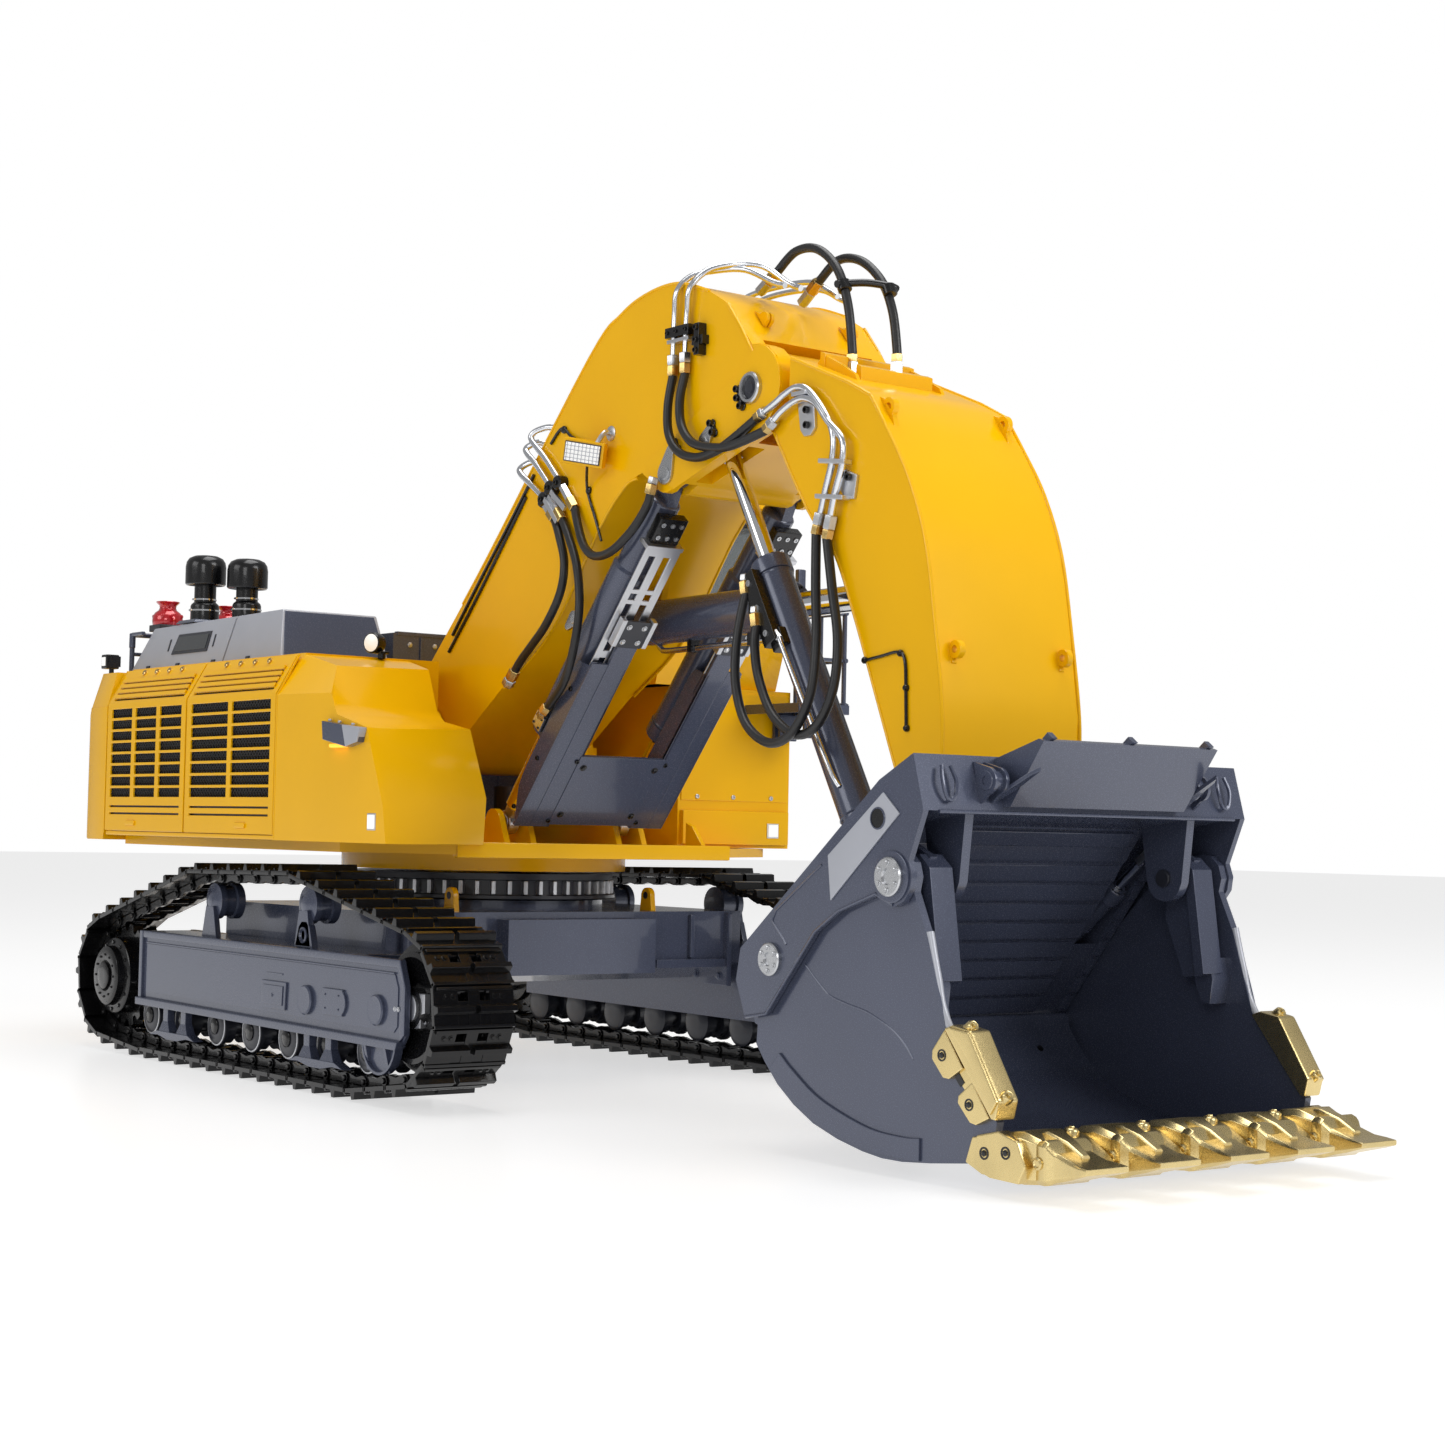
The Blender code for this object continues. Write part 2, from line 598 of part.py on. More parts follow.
def boom_outline():
    upper = curve([(6, 245), (70, 306), (172, 409.5), (203, 430), (229, 437.8), (256, 438.5), (283, 430)], 3)
    return (arc(BOOM_FOOT, 24, -50, -230, 8) + upper + [(299, 421), (321, 396)]
            + arc(STICK_PIVOT, 23, 80, -65, 7) + arc(LIFT_HEAD, 12.5, -50, -130, 4)
            + curve([(226, 340), (210, 334), (187, 314), (142, 260), (88, 227)], 3))


def boom():
    pivot("boom", (BOOM_FOOT[0], 0, BOOM_FOOT[1]), "upper")
    solids = [side_plate(boom_outline(), -BOOM_Y, BOOM_Y)]
    lug = [(140, 276)] + arc(CROWD_FOOT, 11, 170, 330, 6) + [(172, 290)]
    solids += [side_plate(lug, *span(side, 9, 13)) for _, side in SIDES]
    cuts = [cross_bar(BOOM_FOOT, 7 + GAP, -60, 60, 20),
            cross_bar(STICK_PIVOT, 6 + GAP, -60, 60, 20),
            cross_bar(CROWD_FOOT, 12, -8.5, 8.5)]
    hub = arc(STICK_PIVOT, 27, 110, 250, 10) + [(360, 320), (360, 420)]
    cuts.append(side_plate(hub, -FORK_Y, FORK_Y))
    belly = [(264, 316), (316, 316), (310, 348), (295, 367), (274, 367), (267, 352)]
    head_slot = [(216, 310), (262, 310), (262, 346), (256, 352), (240, 352), (216, 334)]
    for _, side in SIDES:
        cuts.append(side_plate(head_slot, *span(side, LIFT_Y - 4, LIFT_Y + 4)))
        cuts.append(side_plate(belly, *span(side, TILT_Y - 5.5, TILT_Y + 5.5)))
    node("boom", "boom", YELLOW, solids, cuts)
    node("stick_pin", "boom", STEEL, [cross_bar(STICK_PIVOT, 6, -BOOM_Y - 1.5, BOOM_Y + 1.5, 20)])
    lift_cylinders()


LIFT_SIZES = (11.0, 6.5, 180.0, 9.0, 3.4, 194.0)


def lift_cylinders():
    pivot("lift_barrels", (LIFT_HEAD[0], 0, LIFT_HEAD[1]), "boom")
    pivot("lift_rods", (LIFT_FOOT[0], 0, LIFT_FOOT[1]), "lift_barrels")
    for word, side in SIDES:
        cylinder_pair(word, side, ("lift_barrel_", "lift_rod_"), ("lift_barrels", "lift_rods"),
                      LIFT_FOOT, LIFT_HEAD, LIFT_Y, LIFT_SIZES)
    front = 21.0

    def guard_point(distance, depth):
        return along(LIFT_FOOT, LIFT_HEAD, distance, depth - front)

    low, high = guard_point(15, 0), guard_point(131, 0)
    sheet = [low, high, guard_point(131, 2.2), guard_point(15, 2.2)]
    cheek = [low, high, guard_point(126, 12), guard_point(36, 12)]
    cross = [guard_point(17, -0.5), guard_point(68, -0.5), guard_point(68, 1.7), guard_point(17, 1.7)]
    solids = [side_plate(cross, -30, 30)]
    for _, side in SIDES:
        solids.append(side_plate(sheet, *span(side, 28, 52)))
        solids.append(side_plate(cheek, *span(side, 50.5, 52.5)))
    node("lift_rod_guard", "lift_rods", SLATE, solids)


def crowd_cylinder():
    pivot("crowd_barrel", (CROWD_FOOT[0], 0, CROWD_FOOT[1]), "boom")
    pivot("crowd_rod", (CROWD_HEAD[0], 0, CROWD_HEAD[1]), "crowd_barrel")
    cylinder_pair("", 1, ("crowd_barrel", "crowd_rod"), ("crowd_barrel", "crowd_rod"),
                  CROWD_HEAD, CROWD_FOOT, 0.0, (12.5, 7.0, 146.0, 8.0, 7.0, 168.0))


def tilt_cylinders():
    """Rods hang from the boom, barrels slide along them down to the bucket's lugs."""
    pivot("tilt_rods", (TILT_HEAD[0], 0, TILT_HEAD[1]), "boom")
    pivot("tilt_barrels", (TILT_FOOT[0], 0, TILT_FOOT[1]), "tilt_rods")
    for word, side in SIDES:
        cylinder_pair(word, side, ("tilt_barrel_", "tilt_rod_"), ("tilt_barrels", "tilt_rods"),
                      TILT_HEAD, TILT_FOOT, TILT_Y, (9.5, 4.6, 176.0, 8.0, 4.0, 168.0))


# ---------------------------------------------------------------- stick and bucket

def stick():
    pivot("stick", (STICK_PIVOT[0], 0, STICK_PIVOT[1]), "boom")
    pivot("stick_link", (BUCKET_PIVOT[0], 0, BUCKET_PIVOT[1]), "stick")
    front = [(412, 358)] + curve([(424, 341), (440, 316), (452.5, 285), (460, 246), (466, 205)], 3)
    body = ([(350, 385), (394, 367)] + front + [(466, 176), (440, 176)]
            + curve([(434, 180), (419, 215), (403, 252), (387, 284), (366, 307)], 2) + [(336, 350), (349.5, 360)])
    hub = arc(STICK_PIVOT, 20, 60, 300, 12) + [(362, 340), (372, 372)]
    foot = [(466, 190), (434, 190)] + arc(BUCKET_PIVOT, 14, 190, 350, 8)
    solids = [side_plate(body, -STICK_Y, STICK_Y), side_plate(hub, -FORK_Y + 0.5, FORK_Y - 0.5),
              side_plate(foot, -25, 25)]
    cuts = [cross_bar(STICK_PIVOT, 6 + GAP, -60, 60, 20), cross_bar(BUCKET_PIVOT, 6 + GAP, -60, 60, 20),
            side_plate([(370, 240), (414, 240), (414, 296), (370, 296)], -7.6, 7.6)]
    node("stick", "stick", YELLOW, solids, cuts)
    heads = [cross_bar(BUCKET_PIVOT, PIN_HEAD_R, *span(side, 32, 43), 24) for _, side in SIDES]
    node("bucket_pin", "stick_link", STEEL, [cross_bar(BUCKET_PIVOT, 6, -34, 34, 20)] + heads)


BACK_OUTLINE = [(490, 171), (512, 182.5), (519, 158), (484, 152), (407, 55), (396, 58), (391, 78), (394, 93)]


def bucket_back():
    """Rear half of the bucket: a box wall with the top beam, side bands and lugs."""
    pivot("bucket", (BUCKET_PIVOT[0], 0, BUCKET_PIVOT[1]), "stick_link")
    solids = [side_plate(BACK_OUTLINE, -95.6, 95.6)]
    spine = [(490, 171), (512, 182.5), (519, 158), (484, 158), (400, 84), (394, 93)]
    band = ([(490, 171), (512, 182.5), (519, 158)] + arc(CLAM_PIVOT, 13, 35, -140, 6)
            + [(464, 113), (448, 103), (414, 64), (398, 62), (391, 78), (394, 93)])
    for _, side in SIDES:
        solids.append(side_plate(spine, *span(side, 90, 101)))
        solids.append(side_plate(band, *span(side, 100.4, BUCKET_Y)))
        ear = [(484, 158), (514, 160)] + arc(CLAM_PIVOT, 11, -10, -170, 6)
        solids.append(side_plate(ear, *span(side, 69, 74)))
        lug = arc(BUCKET_PIVOT, 13, 40, 200, 8) + [(432, 116), (480, 154)]
        solids.append(side_plate(lug, *span(side, 26, 31.5)))
        tilt_lug = arc(TILT_FOOT, 10, 60, 215, 7) + [(404, 90), (440, 120)]
        solids.append(side_plate(tilt_lug, *span(side, TILT_Y + 10, TILT_Y + 13.5)))
    cuts = [cross_bar(BUCKET_PIVOT, 6 + GAP, -60, 60, 20), cross_bar(BUCKET_PIVOT, 16, -25.8, 25.8, 20)]
    for _, side in SIDES:
        cuts.append(cross_bar(BUCKET_PIVOT, PIN_HEAD_R + 0.8, *span(side, 31.6, 43.6), 24))
    pocket = [along(CLAM_CYL_FOOT, CLAM_CYL_HEAD, distance, offset)
              for distance, offset in ((-8, -7), (20, -9), (94, -24), (94, 8), (-8, 7))]
    for _, side in SIDES:
        cuts.append(side_plate(pocket, *span(side, CLAM_CYL_Y - 8, CLAM_CYL_Y + 8)))
    spill = [(516, 160), (523, 160.5), (543, 189), (540, 190), (508, 180)]
    node("bucket_back", "bucket", SLATE, solids + [side_plate(spill, -56, 56)], cuts)
    clam_cylinders()


def clam_cylinders():
    """A short cylinder in each side of the back wall, from its pin up to the clam's lever."""
    pivot("clam_barrels", (CLAM_CYL_FOOT[0], 0, CLAM_CYL_FOOT[1]), "bucket")
    pivot("clam_rods", (CLAM_CYL_HEAD[0], 0, CLAM_CYL_HEAD[1]), "clam_barrels")
    for word, side in SIDES:
        cylinder_pair(word, side, ("clam_barrel_", "clam_rod_"), ("clam_barrels", "clam_rods"),
                      CLAM_CYL_HEAD, CLAM_CYL_FOOT, CLAM_CYL_Y, (5.0, 2.4, 55.0, 5.5, 2.5, 44.0))


def clam():
    """Front half of the bucket: side plates, floor and the arms it swings on."""
    pivot("clam", (CLAM_PIVOT[0], 0, CLAM_PIVOT[1]), "bucket")
    floor_out = curve([(403, 49), (419, 32), (445, 17), (479, 8.5), (505, 7), (540, 10.5), (560, 13)], 2)
    floor_in = curve([(560, 18), (540, 17), (505, 13), (480, 13.5), (449, 21.5), (427, 34), (410, 53.5)], 2)
    cheek = ([(403, 49)] + floor_out[1:] + [(563, 30), (531, 67), (519, 104)]
             + arc(CLAM_PIVOT, 12, -30, 160, 6) + [(470, 128), (413, 73), (404, 62)])
    lever = arc(CLAM_CYL_HEAD, 5, 60, 240, 5) + [(494, 118), (506, 138)]
    arm = arc(CLAM_PIVOT, 9.5, 0, 180, 6) + [(488, 110), (500, 82), (514, 84)]
    solids = [side_plate(floor_out + floor_in, -99.8, 99.8)]
    for _, side in SIDES:
        solids.append(side_plate(cheek, *span(side, 96, 100)))
        solids.append(side_plate(arm, *span(side, 83, 89)))
        solids.append(side_plate(lever, *span(side, 83, 87)))
        solids.append(side_plate([(494, 98), (500, 82), (514, 84), (509, 100)], *span(side, 84, 98)))
    node("clam", "clam", SLATE, solids)
    teeth()


TOOTH_W = 26.0
TOOTH_PITCH = 43.0


def teeth():
    """Lip casting with five teeth, and a cutter on each cheek."""
    solids = [side_plate([(560.6, 8), (578, 7), (580, 14), (574, 23), (562, 21)], -101, 101)]
    for i in range(5):
        y = (i - 2) * TOOTH_PITCH
        back, tip = TOOTH_W / 2, TOOTH_W / 2 - 2
        solids.append(loft([[(572, y - back, 7), (572, y + back, 7), (572, y + back, 25), (572, y - back, 25)],
                            [(594, y - back + 1, 9), (594, y + back - 1, 9), (594, y + back - 1, 21),
                             (594, y - back + 1, 21)],
                            [(TOOTH_TIP_X, y - tip, 14), (TOOTH_TIP_X, y + tip, 14),
                             (TOOTH_TIP_X, y + tip, 16.5), (TOOTH_TIP_X, y - tip, 16.5)]]))
    node("tooth_bar", "clam", GOLD, solids)
    for word, side in SIDES:
        cutter = [(536, 68), (549, 66), (568, 38), (566, 30), (563.6, 30.6), (532.6, 66.6)]
        node("side_cutter_" + word, "clam", GOLD, [side_plate(cutter, *span(side, 94, 103))])


# ---------------------------------------------------------------- hoses

def hoses():
    """Free hoses across the stick pivot: two over the top, two along the right side."""
    top = []
    for shift, y in ((0, -12), (16, 4)):
        route = [(297 + shift, y, 443 - shift * 0.3), (312 + shift, y, 451 - shift * 0.3),
                 (330 + shift, y, 449 - shift * 0.4), (346 + shift, y, 436 - shift * 0.4),
                 (355 + shift, y, 416 - shift * 0.2), (359 + shift, y, 392), (359 + shift, y, 384)]
        top.append(tube_along(smooth_route(route, 3), 2.4))
    clamp = round_bar((352, -13, 424), (368, 5, 422), 3.4, 8)
    node("hoses_top", "boom", HOSE, top + [clamp])
    side = []
    for shift in (0, 6):
        route = [(262 + shift, -53, 388), (263 + shift, -54, 372), (268 + shift, -56, 356),
                 (282 + shift, -57, 346 + shift * 0.5), (302 + shift, -57, 348 + shift * 0.3),
                 (318 + shift, -56, 355), (326 + shift, -55, 360)]
        side.append(tube_along(smooth_route(route, 3), 2.4))
    side.append(round_bar((270, -56, 356), (276, -57, 356), 3.4, 8))
    node("hoses_side", "boom", HOSE, side)


def build():
    clear_scene()
    undercarriage()
    deck()
    casing_right()
    door("door_rear", DOOR_X[0], DOOR_X[0][0])
    door("door_front", DOOR_X[1], DOOR_X[1][1])
    left_side()
    counterweight()
    roof_items()
    inside_parts()
    boom()
    crowd_cylinder()
    tilt_cylinders()
    stick()
    bucket_back()
    clam()
    hoses()


build()
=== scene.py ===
"""Looks of the radio-controlled face shovel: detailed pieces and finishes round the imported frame.

Drawing frame: millimetres, X forward, Y to the machine's left, Z up, with the slew axis at
X = Y = 0 and the ground at Z = 0.  CENTRE_X moves a drawing point into the row frame.
"""
import math

import bmesh
import bpy
from mathutils import Matrix, Vector


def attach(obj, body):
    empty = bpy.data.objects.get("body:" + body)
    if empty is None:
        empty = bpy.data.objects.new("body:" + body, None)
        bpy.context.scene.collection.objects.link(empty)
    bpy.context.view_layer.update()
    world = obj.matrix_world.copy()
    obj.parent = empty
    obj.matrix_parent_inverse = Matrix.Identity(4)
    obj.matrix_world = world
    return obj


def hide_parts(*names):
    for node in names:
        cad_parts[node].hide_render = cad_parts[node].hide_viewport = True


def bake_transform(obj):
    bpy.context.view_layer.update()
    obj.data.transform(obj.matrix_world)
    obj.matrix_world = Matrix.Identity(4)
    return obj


MM = 0.001
CENTRE_X = 133.5
SIDES = (("right", -1.0), ("left", 1.0))

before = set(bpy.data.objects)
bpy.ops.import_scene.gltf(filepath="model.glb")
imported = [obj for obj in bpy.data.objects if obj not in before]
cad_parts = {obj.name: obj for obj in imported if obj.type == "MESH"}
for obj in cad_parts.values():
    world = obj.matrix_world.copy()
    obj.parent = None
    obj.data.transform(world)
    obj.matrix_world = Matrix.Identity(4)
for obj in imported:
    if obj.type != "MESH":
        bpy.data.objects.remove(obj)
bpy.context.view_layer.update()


def point(p):
    """A drawing point in metres in the row frame."""
    return Vector(((p[0] - CENTRE_X) * MM, p[1] * MM, p[2] * MM))


# ---------------------------------------------------------------- camera, lights and floor

CAMERA_AT = (1.1495, -0.7967, 0.147)
CAMERA_HEADING = 142.589
CAMERA_TILT = 2.596
CAMERA_ROLL = 1.162
CAMERA_LENS = 60.0
SENSOR_WIDTH = 36.0
SKY_SEEN = 1.0
SKY_ON_OBJECT = 0.34
FLOOR_HALF = 9.0
FLOOR_DROP = 0.0004
FLOOR_SHADE = 0.42
FLOOR_GLOW = 0.62

# name, place, aim, size, power
SOFT_BOXES = (
    ("overhead", (0.1, 0.1, 2.2), (0, 0, 0.2), (2.0, 1.3), 34),
    ("left_box", (-0.4, -2.2, 1.1), (0, 0, 0.2), (1.3, 0.9), 10),
    ("right_box", (2.3, 0.9, 1.3), (0.1, 0, 0.2), (1.2, 1.2), 27),
    ("front_box", (1.7, -1.8, 0.9), (0.1, 0, 0.25), (0.8, 0.6), 6))


def placed(name, data):
    """A new object for the given data, in the scene."""
    obj = bpy.data.objects.new(name, data)
    bpy.context.scene.collection.objects.link(obj)
    return obj


def set_inputs(node, values):
    """Sets a node's own values by the names of its sockets."""
    for name, value in values.items():
        node.inputs[name].default_value = value


def make_camera():
    """The camera, from its heading, its tilt and its roll in degrees."""
    heading, tilt, roll = (math.radians(a) for a in (CAMERA_HEADING, CAMERA_TILT, CAMERA_ROLL))
    ahead = Vector((math.cos(heading) * math.cos(tilt), math.sin(heading) * math.cos(tilt), math.sin(tilt)))
    level = ahead.cross(Vector((0, 0, 1))).normalized()
    above = level.cross(ahead)
    right = level * math.cos(roll) + above * math.sin(roll)
    up = above * math.cos(roll) - level * math.sin(roll)
    data = bpy.data.cameras.new("camera")
    data.lens = CAMERA_LENS
    data.sensor_width = SENSOR_WIDTH
    data.clip_start, data.clip_end = 0.02, 60.0
    camera = placed("camera", data)
    turn = Matrix((right, up, -ahead)).transposed().to_4x4()
    camera.matrix_world = Matrix.Translation(CAMERA_AT) @ turn
    bpy.context.scene.camera = camera


def soft_box(name, at, target, size, power):
    data = bpy.data.lights.new(name, "AREA")
    data.shape = "RECTANGLE"
    data.size, data.size_y = size
    data.energy = power
    lamp = placed(name, data)
    lamp.location = at
    lamp.rotation_mode = "QUATERNION"
    lamp.rotation_quaternion = (Vector(target) - Vector(at)).to_track_quat("-Z", "Y")


def make_sky():
    """A white sky, at full strength where it is seen and weaker where it lights the object."""
    world = bpy.data.worlds.new("studio")
    world.use_nodes = True
    nodes, links = world.node_tree.nodes, world.node_tree.links
    backdrop = nodes["Background"]
    set_inputs(backdrop, {"Color": (1.0, 1.0, 1.0, 1.0)})
    seen = nodes.new("ShaderNodeLightPath")
    strength = nodes.new("ShaderNodeMapRange")
    set_inputs(strength, {"To Min": SKY_ON_OBJECT, "To Max": SKY_SEEN})
    links.new(seen.outputs["Is Camera Ray"], strength.inputs["Value"])
    links.new(strength.outputs["Result"], backdrop.inputs["Strength"])
    bpy.context.scene.world = world


def make_floor():
    """A pale floor, lit from within so that it ends white."""
    data = bpy.data.meshes.new("floor")
    s = FLOOR_HALF
    data.from_pydata([(-s, -s, 0), (s, -s, 0), (s, s, 0), (-s, s, 0)], [], [(0, 1, 2, 3)])
    floor = placed("floor", data)
    floor.location.z = -FLOOR_DROP
    made = bpy.data.materials.new("floor_white")
    made.use_nodes = True
    set_inputs(made.node_tree.nodes["Principled BSDF"], {
        "Base Color": (FLOOR_SHADE, FLOOR_SHADE, FLOOR_SHADE, 1), "Roughness": 0.3,
                                                         "Specular IOR Level": 0.3,
        "Emission Color": (1, 1, 1, 1), "Emission Strength": FLOOR_GLOW})
    data.materials.append(made)


# ---------------------------------------------------------------- finishes

COAT_ROUGHNESS = 0.04
BUMP_DISTANCE = 0.0006


def finish(name, colour, roughness, metallic=0.0, coat=0.0, shade=0.08, patch=18.0, grain=900.0, bump=0.04,
           scuff=0.08, brushed=None, specular=0.5):
    """A Principled finish with soft colour patches, uneven gloss and fine surface grain."""
    made = bpy.data.materials.new(name)
    made.use_nodes = True
    nodes, links = made.node_tree.nodes, made.node_tree.links
    shader = nodes["Principled BSDF"]
    set_inputs(shader, {"Metallic": metallic, "Coat Weight": coat, "Specular IOR Level": specular,
                        "Coat Roughness": COAT_ROUGHNESS})
    where = nodes.new("ShaderNodeTexCoord")
    place = where.outputs["Object"]
    if brushed:
        stretch = nodes.new("ShaderNodeMapping")
        set_inputs(stretch, {"Scale": brushed})
        links.new(place, stretch.inputs["Vector"])
        place = stretch.outputs["Vector"]
    patches = nodes.new("ShaderNodeTexNoise")
    set_inputs(patches, {"Scale": patch, "Detail": 4.0})
    links.new(where.outputs["Object"], patches.inputs["Vector"])
    tint = nodes.new("ShaderNodeValToRGB")
    darker, lighter = tint.color_ramp.elements
    darker.position, lighter.position = 0.3, 0.7
    darker.color = (*[c * (1 - shade) for c in colour], 1)
    lighter.color = (*[min(1.0, c * (1 + shade * 0.6)) for c in colour], 1)
    links.new(patches.outputs["Fac"], tint.inputs["Fac"])
    fine = nodes.new("ShaderNodeTexNoise")
    set_inputs(fine, {"Scale": grain, "Detail": 3.0})
    links.new(place, fine.inputs["Vector"])
    gloss = nodes.new("ShaderNodeMapRange")
    set_inputs(gloss, {"To Min": max(0.02, roughness - scuff), "To Max": roughness + scuff})
    links.new(fine.outputs["Fac"], gloss.inputs["Value"])
    links.new(gloss.outputs["Result"], shader.inputs["Roughness"])
    lift = nodes.new("ShaderNodeBump")
    set_inputs(lift, {"Strength": bump, "Distance": BUMP_DISTANCE})
    links.new(fine.outputs["Fac"], lift.inputs["Height"])
    links.new(lift.outputs["Normal"], shader.inputs["Normal"])
    links.new(tint.outputs["Color"], shader.inputs["Base Color"])
    return made


def changed(made, values):
    """The same finish with some of its shader's own values set."""
    set_inputs(made.node_tree.nodes["Principled BSDF"], values)
    return made


def glowing(name, colour, strength):
    made = finish(name, colour, 0.3, bump=0.0)
    return changed(made, {"Emission Color": (*colour, 1), "Emission Strength": strength})


def glass(name, colour):
    made = finish(name, colour, 0.06, bump=0.01, scuff=0.03, shade=0.05)
    return changed(made, {"Transmission Weight": 0.85, "IOR": 1.45})


YELLOW = finish("yellow_enamel", (0.87, 0.46, 0.0), 0.22, coat=0.14, shade=0.03, grain=1800, bump=0.01,
                specular=0.25)
SLATE = finish("slate_paint", (0.066, 0.077, 0.122), 0.26, metallic=0.25, coat=0.45, shade=0.06, grain=1800,
               bump=0.02)
GREY = finish("light_grey_paint", (0.42, 0.435, 0.485), 0.34, metallic=0.2, coat=0.2, grain=1000, bump=0.05)
DARK = finish("dark_grey_paint", (0.024, 0.026, 0.036), 0.36, metallic=0.15, coat=0.2, grain=900, bump=0.05)
BLACK = finish("black_gloss", (0.008, 0.008, 0.009), 0.26, metallic=0.4, coat=0.35, shade=0.3, grain=500,
               bump=0.08)
TRACK = finish("blackened_steel", (0.011, 0.011, 0.012), 0.24, metallic=0.6, coat=0.3, shade=0.3, patch=60,
               grain=1500, bump=0.05, scuff=0.08)
PLASTIC = finish("black_plastic", (0.016, 0.016, 0.018), 0.45, shade=0.2, grain=1500, bump=0.1)
HOSE = finish("hose_rubber", (0.012, 0.012, 0.013), 0.38, shade=0.2, grain=1800, bump=0.12)
CHROME = finish("chrome_rod", (0.82, 0.83, 0.85), 0.07, metallic=1.0, shade=0.03, scuff=0.03, bump=0.01)
STEEL = finish("machined_steel", (0.56, 0.57, 0.59), 0.27, metallic=1.0, brushed=(1, 1, 14), grain=2400,
               bump=0.02, scuff=0.05)
SATIN = finish("satin_steel", (0.62, 0.63, 0.66), 0.36, metallic=1.0, grain=900, bump=0.05)
PIPE = finish("bright_pipe", (0.74, 0.76, 0.80), 0.2, metallic=1.0, shade=0.05, grain=500, bump=0.03)
BRASS = finish("brass_fitting", (0.63, 0.44, 0.17), 0.24, metallic=1.0, shade=0.12, grain=800, bump=0.06)
GOLD = finish("gold_casting", (0.72, 0.57, 0.27), 0.28, metallic=1.0, shade=0.1, patch=45, grain=2600,
              bump=0.03,
              scuff=0.06)
RED = finish("red_enamel", (0.52, 0.006, 0.014), 0.16, coat=0.8, metallic=0.2, grain=600, bump=0.02)
SCREEN = finish("dark_window", (0.02, 0.024, 0.028), 0.1, coat=0.6, bump=0.01)
SEAT = finish("seat_vinyl", (0.03, 0.03, 0.034), 0.55, shade=0.2, grain=900, bump=0.35)
LIT = glowing("lit_lens", (0.9, 0.9, 0.88), 0.3)
AMBER = glowing("amber_lens", (1.0, 0.45, 0.03), 1.2)
GLASS = glass("cab_pane", (0.55, 0.6, 0.62))


# ---------------------------------------------------------------- curves

def arc(centre, radius, start, end, steps=8):
    """Side-view points on an arc, angles in degrees."""
    angles = [math.radians(start + (end - start) * i / steps) for i in range(steps + 1)]
    return [(centre[0] + radius * math.cos(a), centre[1] + radius * math.sin(a)) for a in angles]


def curve(points, steps=6):
    """A smooth curve through the given points of any dimension (Catmull-Rom)."""
    ends = [points[0]] + list(points) + [points[-1]]
    made = []
    for a, b, c, d in zip(ends, ends[1:], ends[2:], ends[3:]):
        for i in range(steps):
            t = i / steps
            made.append(tuple(0.5 * (2 * q + (r - p) * t + (2 * p - 5 * q + 4 * r - s) * t * t
                                     + (3 * q - p - 3 * r + s) * t ** 3) for p, q, r, s in zip(a, b, c, d)))
    made.append(tuple(points[-1]))
    return made


def along(a, b, distance, offset=0.0):
    """The point at a distance from a towards b, and offset to the left of that line."""
    length = math.dist(a, b)
    ux, uz = (b[0] - a[0]) / length, (b[1] - a[1]) / length
    return a[0] + ux * distance - uz * offset, a[1] + uz * distance + ux * offset


def mixed(a, b, t):
    """The point at a fraction t of the way from a to b."""
    return tuple(p + (q - p) * t for p, q in zip(a, b))


def basis(axis):
    """Two directions square to an axis."""
    axis = Vector(axis).normalized()
    side = axis.orthogonal().normalized()
    if abs(axis.z) < 0.9:
        side = axis.cross(Vector((0, 0, 1))).normalized()
    return axis, side, axis.cross(side)


def flat(route, y):
    """Side-view points at one distance across the machine."""
    return [(x, y, z) for x, z in route]


def rect(x, y, z):
    """A level rectangle over the ranges x and y, at height z."""
    return [(x[0], y[0], z), (x[1], y[0], z), (x[1], y[1], z), (x[0], y[1], z)]


def about(x, half):
    """The range of a given half width about a middle."""
    return x - half, x + half


def round_places(centre, radius, count, start=0.5):
    """Places at equal steps round a circle, the first at the given part of a step."""
    angles = [2 * math.pi * (i + start) / count for i in range(count)]
    return [(centre[0] + radius * math.cos(a), centre[1] + radius * math.sin(a)) for a in angles]


def span(side, near, far):
    """A Y range on one side of the machine, from its inner to its outer distance."""
    return tuple(sorted((side * near, side * far)))


# ---------------------------------------------------------------- pieces

SHARP_FORM = 32
SHARP_SHEET = 50
SMOOTH_ANGLE = 42
BEVEL_PROFILE = {1: 0.5, 2: 0.6}


